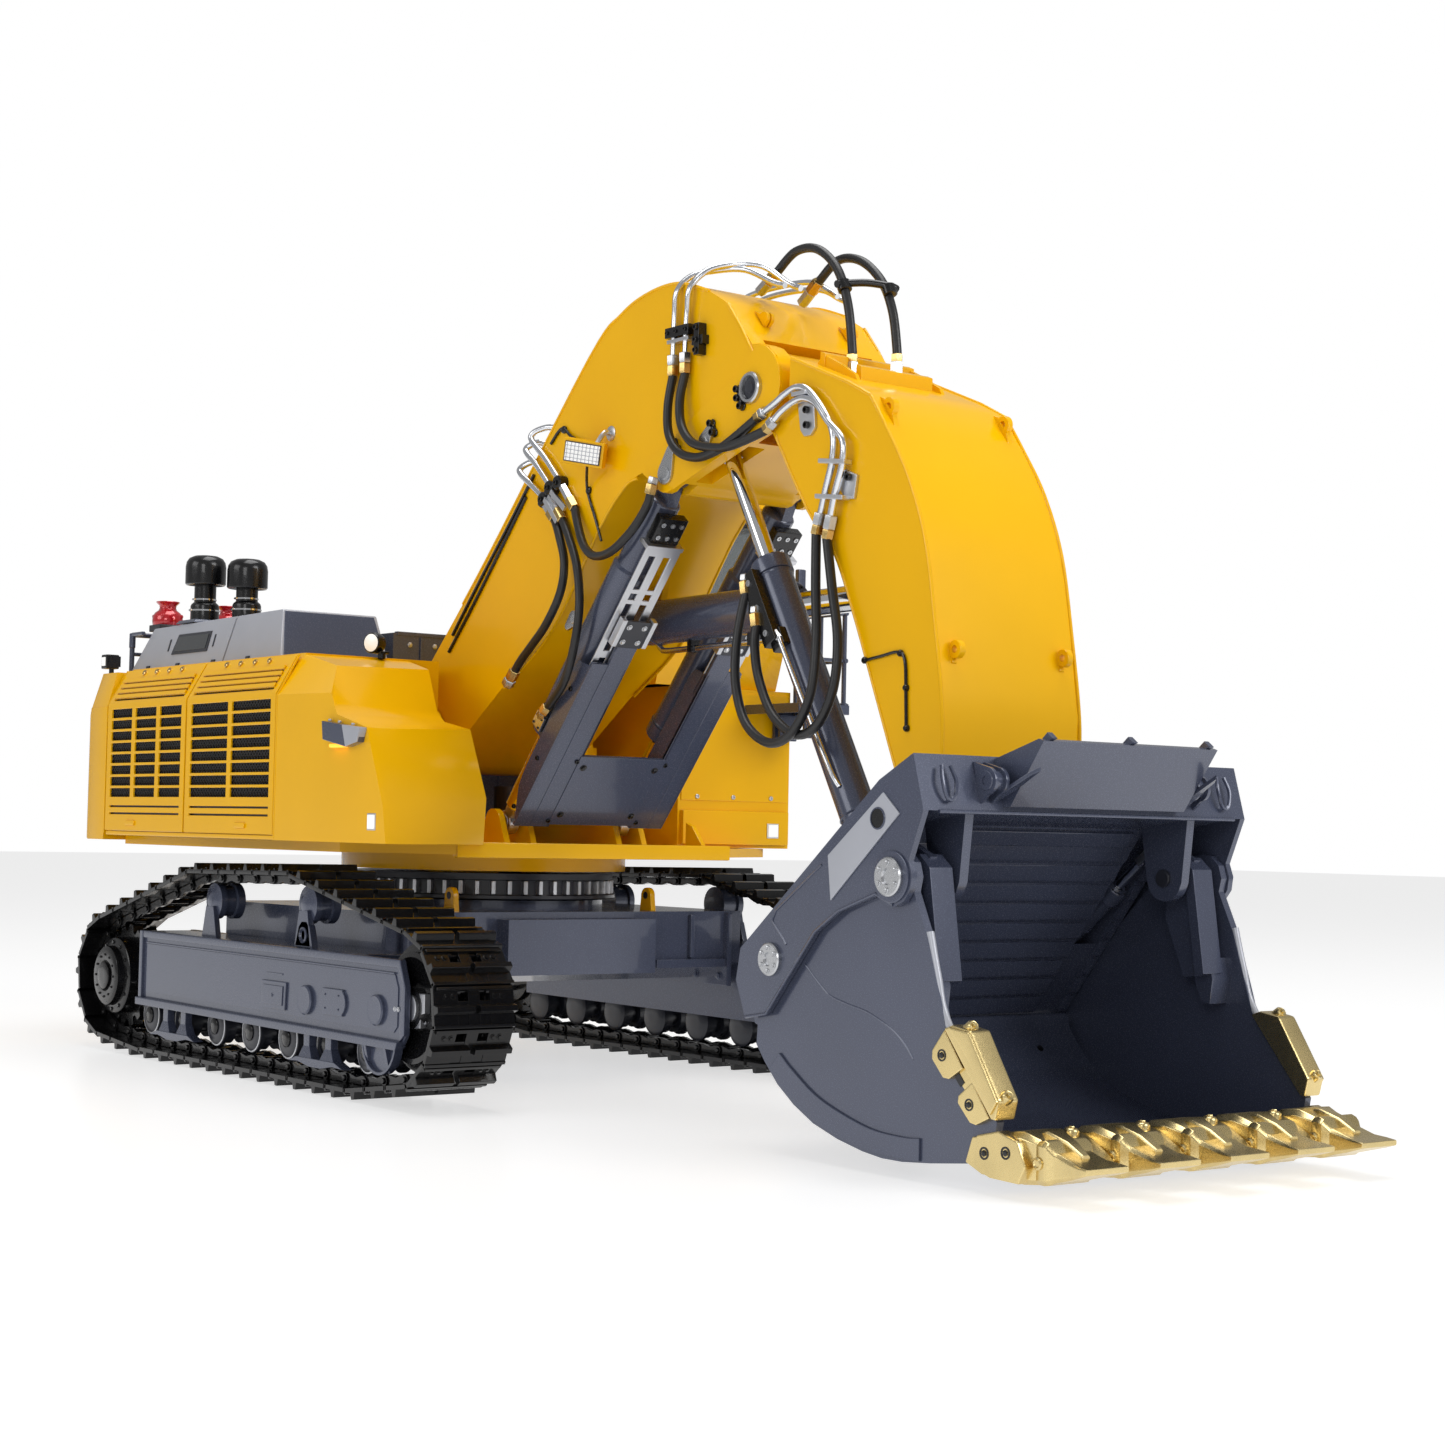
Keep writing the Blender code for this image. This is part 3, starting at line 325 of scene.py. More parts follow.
class Piece:
    """A piece that rides on a body: closed forms gathered in one mesh, each form with its finish."""

    def __init__(self, name, body, paint, bevel=0.5):
        self.name, self.body, self.bevel = name, body, bevel
        self.paints = []
        self.verts, self.faces, self.slots = [], [], []
        self.paint = paint

    def add(self, rings, bevel=None, looped=False):
        """A form lofted through rings of drawing points, its sharp edges bevelled."""
        bm = bmesh.new()
        rows = [[bm.verts.new(p) for p in ring] for ring in rings]
        count = len(rows[0])
        for low, high in zip(rows, rows[1:] + rows[:1] if looped else rows[1:]):
            for i in range(count):
                j = (i + 1) % count
                bm.faces.new((low[i], low[j], high[j], high[i]))
        if not looped:
            bm.faces.new(rows[0][::-1])
            bm.faces.new(rows[-1])
        return self.take(bm, bevel, SHARP_FORM, 2)

    def slot_of(self, paint):
        """The number of a paint in the piece's list, joined to it when new."""
        if paint not in self.paints:
            self.paints.append(paint)
        return self.paints.index(paint)

    def take(self, bm, bevel, sharp_angle, segments):
        """Bevels a form's sharp edges and gathers it in the piece, in the present paint."""
        bevel = self.bevel if bevel is None else bevel
        bmesh.ops.recalc_face_normals(bm, faces=bm.faces)
        limit = math.radians(sharp_angle)
        edges = bm.edges if bevel else ()
        sharp = [e for e in edges if len(e.link_faces) == 2 and e.calc_face_angle(0) > limit]
        if sharp:
            bmesh.ops.bevel(bm, geom=sharp, offset=bevel, offset_type="OFFSET", segments=segments,
                            profile=BEVEL_PROFILE[segments], affect="EDGES", clamp_overlap=True)
        slot = self.slot_of(self.paint)
        start = len(self.verts)
        bm.verts.index_update()
        self.verts += [v.co.copy() for v in bm.verts]
        for face in bm.faces:
            self.faces.append([start + v.index for v in face.verts])
            self.slots.append(slot)
        bm.free()
        return self

    def stamp(self, other, turn):
        """Copies another piece's forms in, moved by a matrix in drawing millimetres."""
        slots = [self.slot_of(paint) for paint in other.paints]
        start = len(self.verts)
        self.verts += [turn @ v for v in other.verts]
        flip = turn.determinant() < 0
        for face, slot in zip(other.faces, other.slots):
            moved = [start + i for i in face]
            self.faces.append(moved[::-1] if flip else moved)
            self.slots.append(slots[slot])
        return self

    def plate(self, outline, y0, y1, bevel=None):
        """A side-view outline, extruded across the machine."""
        return self.add([flat(outline, y) for y in (y0, y1)], bevel)

    def plates(self, outline, near, far, bevel=None):
        """The same plate on both sides, from its inner to its outer distance."""
        for _, side in SIDES:
            self.plate(outline, *span(side, near, far), bevel)
        return self

    def slab(self, outline, z0, z1, bevel=None):
        """A plan outline, extruded upwards."""
        return self.add([[(x, y, z) for x, y in outline] for z in (z0, z1)], bevel)

    def wall(self, outline, x0, x1, bevel=None):
        """A front-view outline of (Y, Z), extruded along the machine."""
        return self.add([[(x, y, z) for y, z in outline] for x in (x0, x1)], bevel)

    def block(self, x, y, z, bevel=None):
        """A box over the ranges x, y and z."""
        return self.plate([(x[0], z[0]), (x[1], z[0]), (x[1], z[1]), (x[0], z[1])], y[0], y[1], bevel)

    def spun(self, at, axis, profile, sides=20, bevel=0.0, looped=False):
        """A form turned about an axis at a point, from (radius, distance along the axis)."""
        axis, side, other = basis(axis)
        at = Vector(at)
        unit = round_places((0, 0), 1, sides)
        rings = [[tuple(at + axis * d + (side * c + other * s) * r) for c, s in unit] for r, d in profile]
        return self.add(rings, bevel, looped)

    def collar(self, at, axis, inner, outer, start, end, edge=0.3, sides=28):
        """A bored ring, its outer edges broken."""
        profile = [(inner, start), (outer - edge, start), (outer, start + edge), (outer, end - edge),
                   (outer - edge, end), (inner, end)]
        return self.spun(at, axis, profile, sides, looped=True)

    def bar(self, a, b, r, sides=18, edge=0.4):
        """A round bar with its ends' edges broken."""
        length = (Vector(b) - Vector(a)).length
        edge = min(edge, r * 0.3, length * 0.3)
        profile = [(r - edge, 0), (r, edge), (r, length - edge), (r - edge, length)]
        return self.spun(a, Vector(b) - Vector(a), profile, sides)

    def bolt(self, at, axis, r=1.7, h=1.3, socket=False):
        """A hexagon head on its washer, or a socket head with its recess."""
        if socket:
            profile = [(r, -0.3), (r, h - 0.25), (r - 0.25, h), (r * 0.55, h), (r * 0.5, h * 0.35)]
            return self.spun(at, axis, profile, 12)
        self.spun(at, axis, [(r * 1.35, -0.3), (r * 1.35, 0.25), (r * 1.2, 0.4)], 16)
        return self.spun(at, axis, [(r, 0.2), (r, h - 0.3), (r * 0.8, h)], 6)

    def tube(self, points, r, sides=10, steps=6, smooth=True):
        """A round tube along a route of drawing points."""
        route = [Vector(p) for p in (curve(points, steps) if smooth else points)]
        rings = []
        side = None
        for i, p in enumerate(route):
            heading = (route[min(i + 1, len(route) - 1)] - route[max(i - 1, 0)]).normalized()
            side = basis(heading)[1] if side is None else (side - heading * side.dot(heading)).normalized()
            other = heading.cross(side)
            rings.append([tuple(p + (side * math.cos(a) + other * math.sin(a)) * r)
                          for a in (2 * math.pi * k / sides for k in range(sides))])
        return self.add(rings, 0.0)

    def pierced(self, us, vs, is_open, place, depth, bevel=None):
        """A sheet on a grid, with holes; place(u, v, d) gives its points, d inwards from its face."""
        bm = bmesh.new()
        made = {}

        def corner(i, j, k):
            if (i, j, k) not in made:
                made[i, j, k] = bm.verts.new(place(us[i], vs[j], k * depth))
            return made[i, j, k]

        def solid(i, j):
            return 0 <= i < len(us) - 1 and 0 <= j < len(vs) - 1 and not is_open(i, j)

        for i in range(len(us) - 1):
            for j in range(len(vs) - 1):
                if not solid(i, j):
                    continue
                ring = ((i, j), (i + 1, j), (i + 1, j + 1), (i, j + 1))
                bm.faces.new([corner(*c, 0) for c in ring])
                bm.faces.new([corner(*c, 1) for c in ring[::-1]])
                for n, (di, dj) in enumerate(((0, -1), (1, 0), (0, 1), (-1, 0))):
                    if not solid(i + di, j + dj):
                        a, b = ring[n], ring[(n + 1) % 4]
                        bm.faces.new([corner(*a, 0), corner(*a, 1), corner(*b, 1), corner(*b, 0)])
        return self.take(bm, bevel, SHARP_SHEET, 1)

    def build(self, slot, *nodes):
        """Makes the object, hangs it on its body and lets it stand for the named CAD nodes."""
        mesh = bpy.data.meshes.new(self.name)
        mesh.from_pydata([tuple(point(v)) for v in self.verts], [], self.faces)
        mesh.update()
        for paint in self.paints:
            mesh.materials.append(paint)
        mesh.polygons.foreach_set("material_index", self.slots)
        mesh.shade_smooth()
        mesh.set_sharp_from_angle(angle=math.radians(SMOOTH_ANGLE))
        obj = placed(self.name, mesh)
        obj.modifiers.new("normals", "WEIGHTED_NORMAL").keep_sharp = True
        if isinstance(self.body, tuple):
            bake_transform(obj)
        else:
            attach(obj, self.body)
        if nodes:
            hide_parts(*nodes)
        return obj


WELD_REACH = 0.00001
CREASE_ANGLE = 30


def dress(paint, *names):
    """Gives carried-over CAD nodes their finish, with creases kept where faces meet at an angle."""
    for name in names:
        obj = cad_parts[name]
        obj.data.materials.clear()
        obj.data.materials.append(paint)
        obj.modifiers.new("weld", "WELD").merge_threshold = WELD_REACH
        obj.modifiers.new("crease", "EDGE_SPLIT").split_angle = math.radians(CREASE_ANGLE)
        obj.data.shade_smooth()


MIRROR = Matrix.Diagonal((1, -1, 1, 1))

make_camera()
make_sky()
for soft_box_values in SOFT_BOXES:
    soft_box(*soft_box_values)
make_floor()
bpy.context.scene.view_settings.view_transform = "Standard"

dress(YELLOW, "deck", "casing_right", "casing_left", "cab_shell", "counterweight", "door_rear", "door_front",
      "boom", "stick")
dress(SLATE, "carbody", "side_frame_right", "side_frame_left", "roller_bank_right", "roller_bank_left",
      "catwalk_left", "deck_wall", "lift_rod_guard", "lift_barrel_right", "lift_barrel_left", "crowd_barrel",
      "tilt_barrel_right", "tilt_barrel_left", "bucket_back", "clam", "clam_barrel_right",
      "clam_barrel_left")
dress(TRACK, "track_right", "track_left")
dress(BLACK, "sprocket_right", "sprocket_left", "idler_right", "idler_left", "air_cleaner_front",
      "air_cleaner_rear")
dress(CHROME, "lift_rod_right", "lift_rod_left", "crowd_rod", "tilt_rod_right", "tilt_rod_left",
      "clam_rod_right", "clam_rod_left")
dress(STEEL, "slew_ring", "boom_foot_pin", "stick_pin", "bucket_pin", "hydraulic_pump_tank", "valve_block")
dress(GOLD, "tooth_bar", "side_cutter_right", "side_cutter_left")
dress(GREY, "engine_hood")
dress(RED, "exhaust")
dress(GLASS, "cab_glass")
dress(HOSE, "hoses_top", "hoses_side")
dress(PLASTIC, "travel_motor_right", "travel_motor_left", "slew_motor", "battery", "electronics_box")


# ---------------------------------------------------------------- undercarriage

TRACK_Y = 144.5
TRACK_W = 48.0
SHOE_COUNT = 46
IDLER = (185.0, 52.0, 43.0)
SPROCKET = (-187.0, 47.0, 40.0)
ROLLER_Z = 25.0
ROLLER_XS = [46.0 * i for i in range(-3, 4)]
TOP_ROLLERS = ((-62.0, 99.0), (58.0, 101.0))
BELT_CIRCLES = [IDLER, SPROCKET] + [(x, z, 20.0) for x, z in TOP_ROLLERS]
BELT_CIRCLES += [(x, ROLLER_Z, 22.0) for x in (-138.0, 138.0)]
FRAME_FACE = -161.0
RING_TEETH = 52


def belt(circles, steps=24):
    """The outline of a belt round the given circles: the convex hull of their points."""
    cloud = sorted(p for x, z, r in circles for p in arc((x, z), r, 0, 360, steps)[:-1])

    def half(points):
        hull = []
        for p in points:
            while len(hull) > 1 and ((hull[-1][0] - hull[-2][0]) * (p[1] - hull[-2][1])
                                     - (hull[-1][1] - hull[-2][1]) * (p[0] - hull[-2][0])) <= 0:
                hull.pop()
            hull.append(p)
        return hull[:-1]

    return half(cloud) + half(cloud[::-1])


def spaced(outline, count):
    """Places at equal steps along a closed outline, each with its direction, and the step."""
    closed = outline + [outline[0]]
    lengths = [math.dist(a, b) for a, b in zip(closed, closed[1:])]
    step = sum(lengths) / count
    result = []
    index, passed = 0, 0.0
    for k in range(count):
        while passed + lengths[index] < k * step:
            passed += lengths[index]
            index += 1
        a, b = closed[index], closed[index + 1]
        place = mixed(a, b, (k * step - passed) / lengths[index])
        result.append((place, ((b[0] - a[0]) / lengths[index], (b[1] - a[1]) / lengths[index])))
    return result, step


def track_shoe(step):
    """One shoe and its pair of links; X runs along the chain and Z outwards."""
    shoe = Piece("shoe", "undercarriage", TRACK, 0.25)
    half, edge = step / 2, TRACK_W / 2
    deep, face = -3.4, -0.9
    rear, ahead = -half + 0.5, half - 0.5
    for y in ((-edge, -9.5), (-3.5, 3.5), (9.5, edge)):
        shoe.block((rear, ahead), y, (deep, face))
    for y in ((-9.5, -3.5), (3.5, 9.5)):
        for x in ((rear, 3.4), (9.0, ahead)):
            shoe.block(x, y, (deep, face - 0.2))
    bite = [(-3.6, face - 0.3), (-2.5, 2.95), (0.4, 2.95), (1.6, face - 0.3)]
    lip = [(half - 2.6, face - 0.3), (half - 2.2, 0.55), (half - 0.3, 0.35), (half - 0.1, face - 0.3)]
    for y0, y1 in ((-edge, -1.5), (1.5, edge)):
        shoe.plate(bite, y0, y1)
    shoe.plate(lip, -edge + 1.5, edge - 1.5)
    shoe.plate([(-half + 0.2, deep), (-half + 0.4, -0.4), (-half + 2.2, -0.2), (-half + 2.6, deep)], -edge,
               edge)
    for y in (-16.5, -12.5, 12.5, 16.5):
        shoe.bolt((5.6, y, face), (0, 0, 1), 1.2, 1.0)
    link = [(-half - 1.6, -8.6), (-half + 4.4, -8.8), (0, -7.4), (half - 4.4, -8.8), (half + 1.2, -8.2),
            (half + 1.2, -4.0), (-half - 1.6, -3.6)]
    for side in (-1, 1):
        shoe.plate(link, *span(side, 7.9, 10.4))
        shoe.plate(arc((-half, -6.0), 2.9, 0, 360, 12)[:-1], *span(side, 7.6, 11.4), bevel=0.2)
    shoe.bar((-half, -12.4, -6.0), (-half, 12.4, -6.0), 1.7, 10)
    return shoe


def tracks():
    """Both track chains, each of the same shoes."""
    places, step = spaced(belt(BELT_CIRCLES), SHOE_COUNT)
    shoe = track_shoe(step)
    for word, side in SIDES:
        chain = Piece("track_chain_" + word, "undercarriage", TRACK)
        for (x, z), (dx, dz) in places:
            turn = Matrix(((dx, 0, dz, x), (0, 1, 0, side * TRACK_Y), (dz, 0, -dx, z), (0, 0, 0, 1)))
            chain.stamp(shoe, turn)
        chain.build("black_gloss", "track_" + word)


def frame_box(p):
    """Side frame, drawn for the right side: box section, outer panel with its rims and covers."""
    outer = [(-143, 32), (182, 30), (188, 38), (188, 63), (182, 77), (-143, 78)]
    p.block((-143, 143), (-160, -127), (37.8, 77.6), 1.2)
    for near, far in ((-161.6, -159.4), (-129.2, -125.8)):
        p.plate(outer, near, far, 0.5)
    p.plate([(-143, 73.6), (180, 72.6), (185.5, 64), (188, 63), (182, 77), (-143, 78)], -163, FRAME_FACE,
            0.8)
    p.plate([(-143, 31.8), (183, 29.8), (185, 34.4), (-143, 36.6)], -165.4, -160.5, 0.8)
    p.block((-143, -138.6), (-163.4, FRAME_FACE), (32, 78), 0.6)
    p.plate([(182.6, 34), (188, 38), (188, 63), (184.5, 66)], -163, FRAME_FACE, 0.6)
    panel = [(-134, 40), (176, 38.6), (179.5, 42), (179.5, 62), (176, 69), (-134, 70.2)]
    p.plate(panel, -162.2, FRAME_FACE, 0.4)
    p.plate([(-134, 70.2), (176, 69), (176, 70), (-134, 71.2)], -162.7, FRAME_FACE, 0.3)
    p.plate([(26, 41.6), (55, 41.6), (56, 57.4), (26, 57.4)], -163.4, -162, 0.5)
    p.plate([(29, 44), (52.4, 44), (53, 55), (29, 55)], -164, -163.2, 0.3)
    p.bolt((40.5, -163.9, 49.5), (0, -1, 0), 0.9, 0.7)
    cover = [(99, 43), (122, 43)] + arc((118, 50.2), 7.4, -60, 60, 5) + [(122, 57.4), (99, 57.4)]
    cover += arc((103, 50.2), 7.4, 120, 240, 5)
    p.plate(cover, -163.6, -162, 0.5)
    for x in (103, 118):
        for z in (46.5, 54):
            p.bolt((x, -163.5, z), (0, -1, 0), 0.7, 0.5, True)
    for x in (79, 158.5):
        p.spun((x, -161.5, 49.2), (0, -1, 0), [(8.2, 0), (8.2, 2.2), (7.4, 3), (6, 2.9)], 32)
    p.block((30, 50), (-162.6, -162), (61, 62), 0.2)
    for x in (-120, -60, 0, 60, 120):
        p.bolt((x, -164.2, 34.2), (0, -1, 0), 0.8, 0.6, True)


def rock_guards(p):
    """Forked guards over the rollers, and the round nose plate under the idler."""
    for x in (-92, 92):
        for leg in (x - 12.5, x + 12.5):
            p.block(about(leg, 3.4), (-162, -157.5), (20.5, 33), 0.5)
            p.add([rect(about(leg, 3.6), (-162, -157.5), 24), rect(about(leg, 8.5), (-163, -157), 16.4)],
                  0.4)
        foot = [(x - 32, 14.4), (x - 22, 17.6), (x + 22, 17.6), (x + 32, 14.4), (x + 20, 15), (x + 7, 12.9),
                (x - 7, 12.9), (x - 20, 15)]
        p.plate(foot, -163.4, -157, 0.4)
    nose = (163, 33.5)
    p.plate([(136, 32), (186, 32)] + arc(nose, 18.2, -8, -172, 14), -161.6, -159, 0.5)
    p.plate(arc(nose, 18.2, -4, -176, 14) + arc(nose, 16.6, -176, -4, 14), -164, -159, 0.3)
    for x in (150, 171):
        p.add([rect(about(x, 1.2), (-165.2, FRAME_FACE), 31.5), rect(about(x, 1.6), (-162, FRAME_FACE), 17)],
              0.2)


def side_frames():
    """Both side frames with their top rollers and track tensioners; the left mirrors the right."""
    right = Piece("side_frame_detail_right", "undercarriage", SLATE, 0.6)
    frame_box(right)
    rock_guards(right)
    lug = [(49, 77.5), (70, 77.5), (66, 89), (62.5, 92), (56.5, 92), (53, 89)]
    right.plate(lug, -155, -151, 0.5)
    right.spun((59.5, -151, 84), (0, -1, 0), [(4.6, 0), (4.6, 4.8), (3.4, 5.2), (2.6, 4)], 20)
    tread = [(5, 0), (10.8, 0.4), (10.8, 5), (9.2, 5.6), (9.2, 11.6), (10.8, 12.2), (10.8, 16), (6, 16.8),
             (3.4, 19)]
    for x, z in TOP_ROLLERS:
        right.plate([(x - 10, 77), (x + 10, 77), (x + 5, z - 3), (x - 5, z - 3)], -155, -151.5, 0.5)
        right.spun((x, -136, z), (0, -1, 0), tread, 28)
    right.paint = SATIN
    right.plate([(186, 41), (195, 42), (195, 49), (199, 50), (199, 60), (186, 60)], -157.5, -154, 0.6)
    right.block((180, 196), (-155, -131), (44, 56), 0.6)
    for x in (176.5, 180):
        right.bolt((x, -162, 51), (0, -1, 0), 1.0, 0.8)
    right.paint = DARK
    right.bar((143, -144.5, 52), (172, -144.5, 52), 6.5)
    spring = [(143 + i * 0.55, -144.5 + 8 * math.cos(i * 0.9),
               52 + 8 * math.sin(i * 0.9)) for i in range(44)]
    right.tube(spring, 1.1, 6, 2)
    right.build("slate_paint", "side_frame_right")
    left = Piece("side_frame_detail_left", "undercarriage", SLATE)
    left.stamp(right, MIRROR).build("slate_paint", "side_frame_left")


def rollers():
    """Track rollers: two treads with a flange each side and a capped axle."""
    wheel = Piece("wheel", "undercarriage", DARK, 0.3)
    centre, out = (0, 0, 0), (0, -1, 0)
    tread = [(3, -12.5), (9.6, -12.2), (12.0, -11), (12.0, -8.6), (10.4, -8.0), (10.4, -3.2), (7, -2.4),
             (7, 2.4),
             (10.4, 3.2), (10.4, 8.0), (12.0, 8.6), (12.0, 11)]
    wheel.spun(centre, out, tread + [(9.6, 12.2), (5, 12.4)], 30)
    wheel.paint = SATIN
    wheel.spun(centre, out, [(11.6, 10.9), (11.6, 11.5), (8.8, 11.9), (8.8, 11.2)], 30)
    wheel.paint = BLACK
    wheel.spun(centre, out, [(5, 11.5), (5, 13), (3.6, 13.8), (1, 13.8)], 18)
    for word, side in SIDES:
        bank = Piece("track_rollers_" + word, "undercarriage", DARK)
        turn = Matrix.Rotation(0 if side < 0 else math.pi, 4, "Z")
        for x in ROLLER_XS:
            bank.stamp(wheel, Matrix.Translation((x, side * TRACK_Y, ROLLER_Z)) @ turn)
        bank.paint = SLATE
        for x in ROLLER_XS:
            bank.block(about(x, 5), span(side, TRACK_Y + 9.5, TRACK_Y + 11.3), (24, 38.5), 0.4)
        bank.build("slate_paint", "roller_bank_" + word)


def drive_hub(word, side):
    """A sprocket with its bolted hub cap."""
    hub = Piece("drive_hub_" + word, "sprocket_" + word, BLACK, 0.3)
    x, z, _ = SPROCKET
    at, out = (x, side * TRACK_Y, z), (0, side, 0)
    hub.spun(at, out, [(6, 15.9), (10, 22.2), (16.5, 22.6), (18.6, 21.4), (19.2, 17.2), (23.6, 16.4),
                       (24.4, 15.6),
                       (24.4, -3.2), (18, -4)][::-1], 48)
    for (a, b), (c, d) in zip(round_places((x, z), 21.4, 12, 0), round_places((x, z), 13.4, 12, 0)):
        hub.bolt((a, at[1] + side * 16.5, b), out, 1.2, 1.2)
        hub.bolt((c, at[1] + side * 22.3, d), out, 0.8, 0.9, True)
    hub.spun(at, out, [(8.5, 22), (8.5, 23.4), (7.5, 24), (3, 24)], 28)
    corners = [round_places((x, z), r, 16, part) for part,
               r in ((0.0, 28.6), (0.3, 28.6), (0.46, 33.2), (0.84, 33.2))]
    hub.plate([p for tooth_corners in zip(*corners) for p in tooth_corners],
              *span(side, TRACK_Y, TRACK_Y + 7.3), 0.5)
    hub.build("black_gloss", "sprocket_" + word)


def idler_wheel(word, side):
    """An idler with a raised middle tread and a bright axle cap each side."""
    wheel = Piece("idler_wheel_" + word, "idler_" + word, BLACK, 0.3)
    at = (IDLER[0], side * TRACK_Y, IDLER[1])
    half = [(34.2, 6.8), (29.2, 7.4), (29.2, 12.6), (26.5, 13), (24.5, 11), (13, 9.5), (11, 13.2),
            (7.6, 13.4)]
    wheel.spun(at, (0, side, 0), [(r, -d) for r, d in half[::-1]] + half, 56)
    wheel.paint = SATIN
    for end in (-1, 1):
        wheel.spun(at, (0, end, 0), [(7.4, 13.2), (7.4, 14.2), (6.6, 14.5), (2, 14.5)], 20)
    wheel.build("black_gloss", "idler_" + word)


def lower_works():
    """Cross beams' flanges and bolts, lifting eyes and the slewing ring's rows of bolts."""
    p = Piece("carbody_detail", "undercarriage", SLATE, 0.5)
    for _, side in SIDES:
        p.plate([(-104, 52), (104, 52), (104, 97), (-104, 97)], *span(side, 112.5, 116), bevel=0.8)
        for x in range(-96, 97, 24):
            for z in (58, 91):
                p.bolt((x, side * 112.5, z), (0, -side, 0), 2.1, 1.8)
        for x in (-101.5, 101.5):
            p.block(about(x, 1.6), span(side, 60, 112), (64, 69), 0.4)
            p.plate([(x - 1.5, 70), (x + 1.5, 70), (x + 1.5, 96), (x - 1.5, 96)], *span(side, 85, 88))
    p.spun((0, 0, 62), (0, 0, 1), [(66, 0), (70, 4), (70, 30), (74, 33), (74, 41.5), (60, 41.8)], 64)
    p.block((100, 104), (-46, 46), (66, 94), 0.8)
    for y in (-38, 38):
        for z in (72, 88):
            p.bolt((103.8, y, z), (1, 0, 0), 1.8, 1.5)
    p.block((-104, -100), (-46, 46), (66, 94), 0.8)
    p.paint = YELLOW
    eye = [(-6, 0), (6, 0)] + arc((0, 9), 5, -10, 190, 10)
    corners = [(x, y) for x in (78, -78) for y in (-70, 70)]
    for x, y in corners:
        p.plate([(x + a, 97.8 + b) for a, b in eye], *about(y, 1.8), 0.4)
    p.paint = DARK
    for x, y in corners:
        p.spun((x, y - 2.1, 107), (0, 1, 0), [(2.2, 0), (2.2, 4.2), (1, 4.2)], 16)
    p.build("slate_paint")
    ring = Piece("slew_ring_detail", "undercarriage", DARK, 0.3)
    ring.spun((0, 0, 104), (0, 0, 1),
              [(50, 0), (80.5, 0), (81.5, 0.8), (81.5, 2.6), (77.2, 3.2), (77.2, 11.5),
                                       (80, 12), (80, 15.6), (50, 16.2)], 96)
    ring.paint = SATIN
    for c, s in round_places((0, 0), 1, RING_TEETH, 0):
        tooth_plan = [(r * c - t * s, r * s + t * c) for r,
                      t in ((77, -1.7), (80.6, -1.2), (80.6, 1.2), (77, 1.7))]
        ring.slab(tooth_plan, 107.4, 115.2, 0.3)
    ring.build("steel", "slew_ring")


tracks()
side_frames()
rollers()
for wheel_side in SIDES:
    drive_hub(*wheel_side)
    idler_wheel(*wheel_side)
lower_works()


# ---------------------------------------------------------------- upper structure

BODY_Y = 165.0
BOOM_FOOT = (10.0, 203.0)
UP = (0, 0, 1)
# word, range along X and the side of its handle, of the two right service doors
DOORS = (("rear", (-199.0, -82.5), 3, -1), ("front", (-80.5, 36.5), 2, 1))
DOOR_FOOT = 140.0
DOOR_FOLD = 81.0
DOOR_TOP = DOOR_FOLD + 26.4
DOOR_LEAN = (13.0, 23.0)
LEAN_OUT = (0, -0.87, 0.49)
WINDOW_ROWS = [(161.5 + 7.25 * i, 167.1 + 7.25 * i) for i in range(8)]
LOUVRES = [(DOOR_FOLD + 3.0 + 4.0 * i, DOOR_FOLD + 4.5 + 4.0 * i) for i in range(4)]
MESH_PITCH = 3.6
MESH_RISE = 3.0
WIRE_R = 0.34


def door_point(u, v, d):
    """A point on a door's skin: up its flat part, then up the part that leans inwards."""
    if v <= DOOR_FOLD:
        return u, -BODY_Y + d, DOOR_FOOT + v
    rise = (v - DOOR_FOLD) / (DOOR_TOP - DOOR_FOLD)
    return (u, -BODY_Y + DOOR_LEAN[0] * rise - d * LEAN_OUT[1],
            DOOR_FOOT + DOOR_FOLD + DOOR_LEAN[1] * rise - d * LEAN_OUT[2])


def door_strip(p, x_range, places, bevel):
    """A strip along a door, its cross-section given by height up the door and depth."""
    ends = [[door_point(x, v, d) for v, d in places] for x in x_range]
    p.add(ends, bevel)


def door_skin(p, x0, x1, columns):
    """The door's sheet with its window openings, two long slots at its foot and louvres at its top."""
    width = (x1 - x0 - 12 - 5 * (columns - 1)) / columns
    us = [x0]
    for k in range(columns):
        start = x0 + 6 + k * (width + 5)
        us += [start, start + width]
    us.append(x1)
    vs = [0.0, 10.4, 11.6, 14.9, 16.1]
    for low, high in WINDOW_ROWS:
        vs += [low - DOOR_FOOT, high - DOOR_FOOT]
    first_louvre = len(vs) + 1
    vs.append(DOOR_FOLD)
    for louvre in LOUVRES:
        vs += louvre
    vs.append(DOOR_TOP)
    windows = range(5, first_louvre - 1, 2)
    slots = {1, 3} | {first_louvre + 2 * i for i in range(len(LOUVRES))}

    def is_open(i, j):
        if j in windows:
            return i % 2 == 1
        return j in slots and 0 < i < len(us) - 2

    p.pierced(us, vs, is_open, door_point, 1.6)


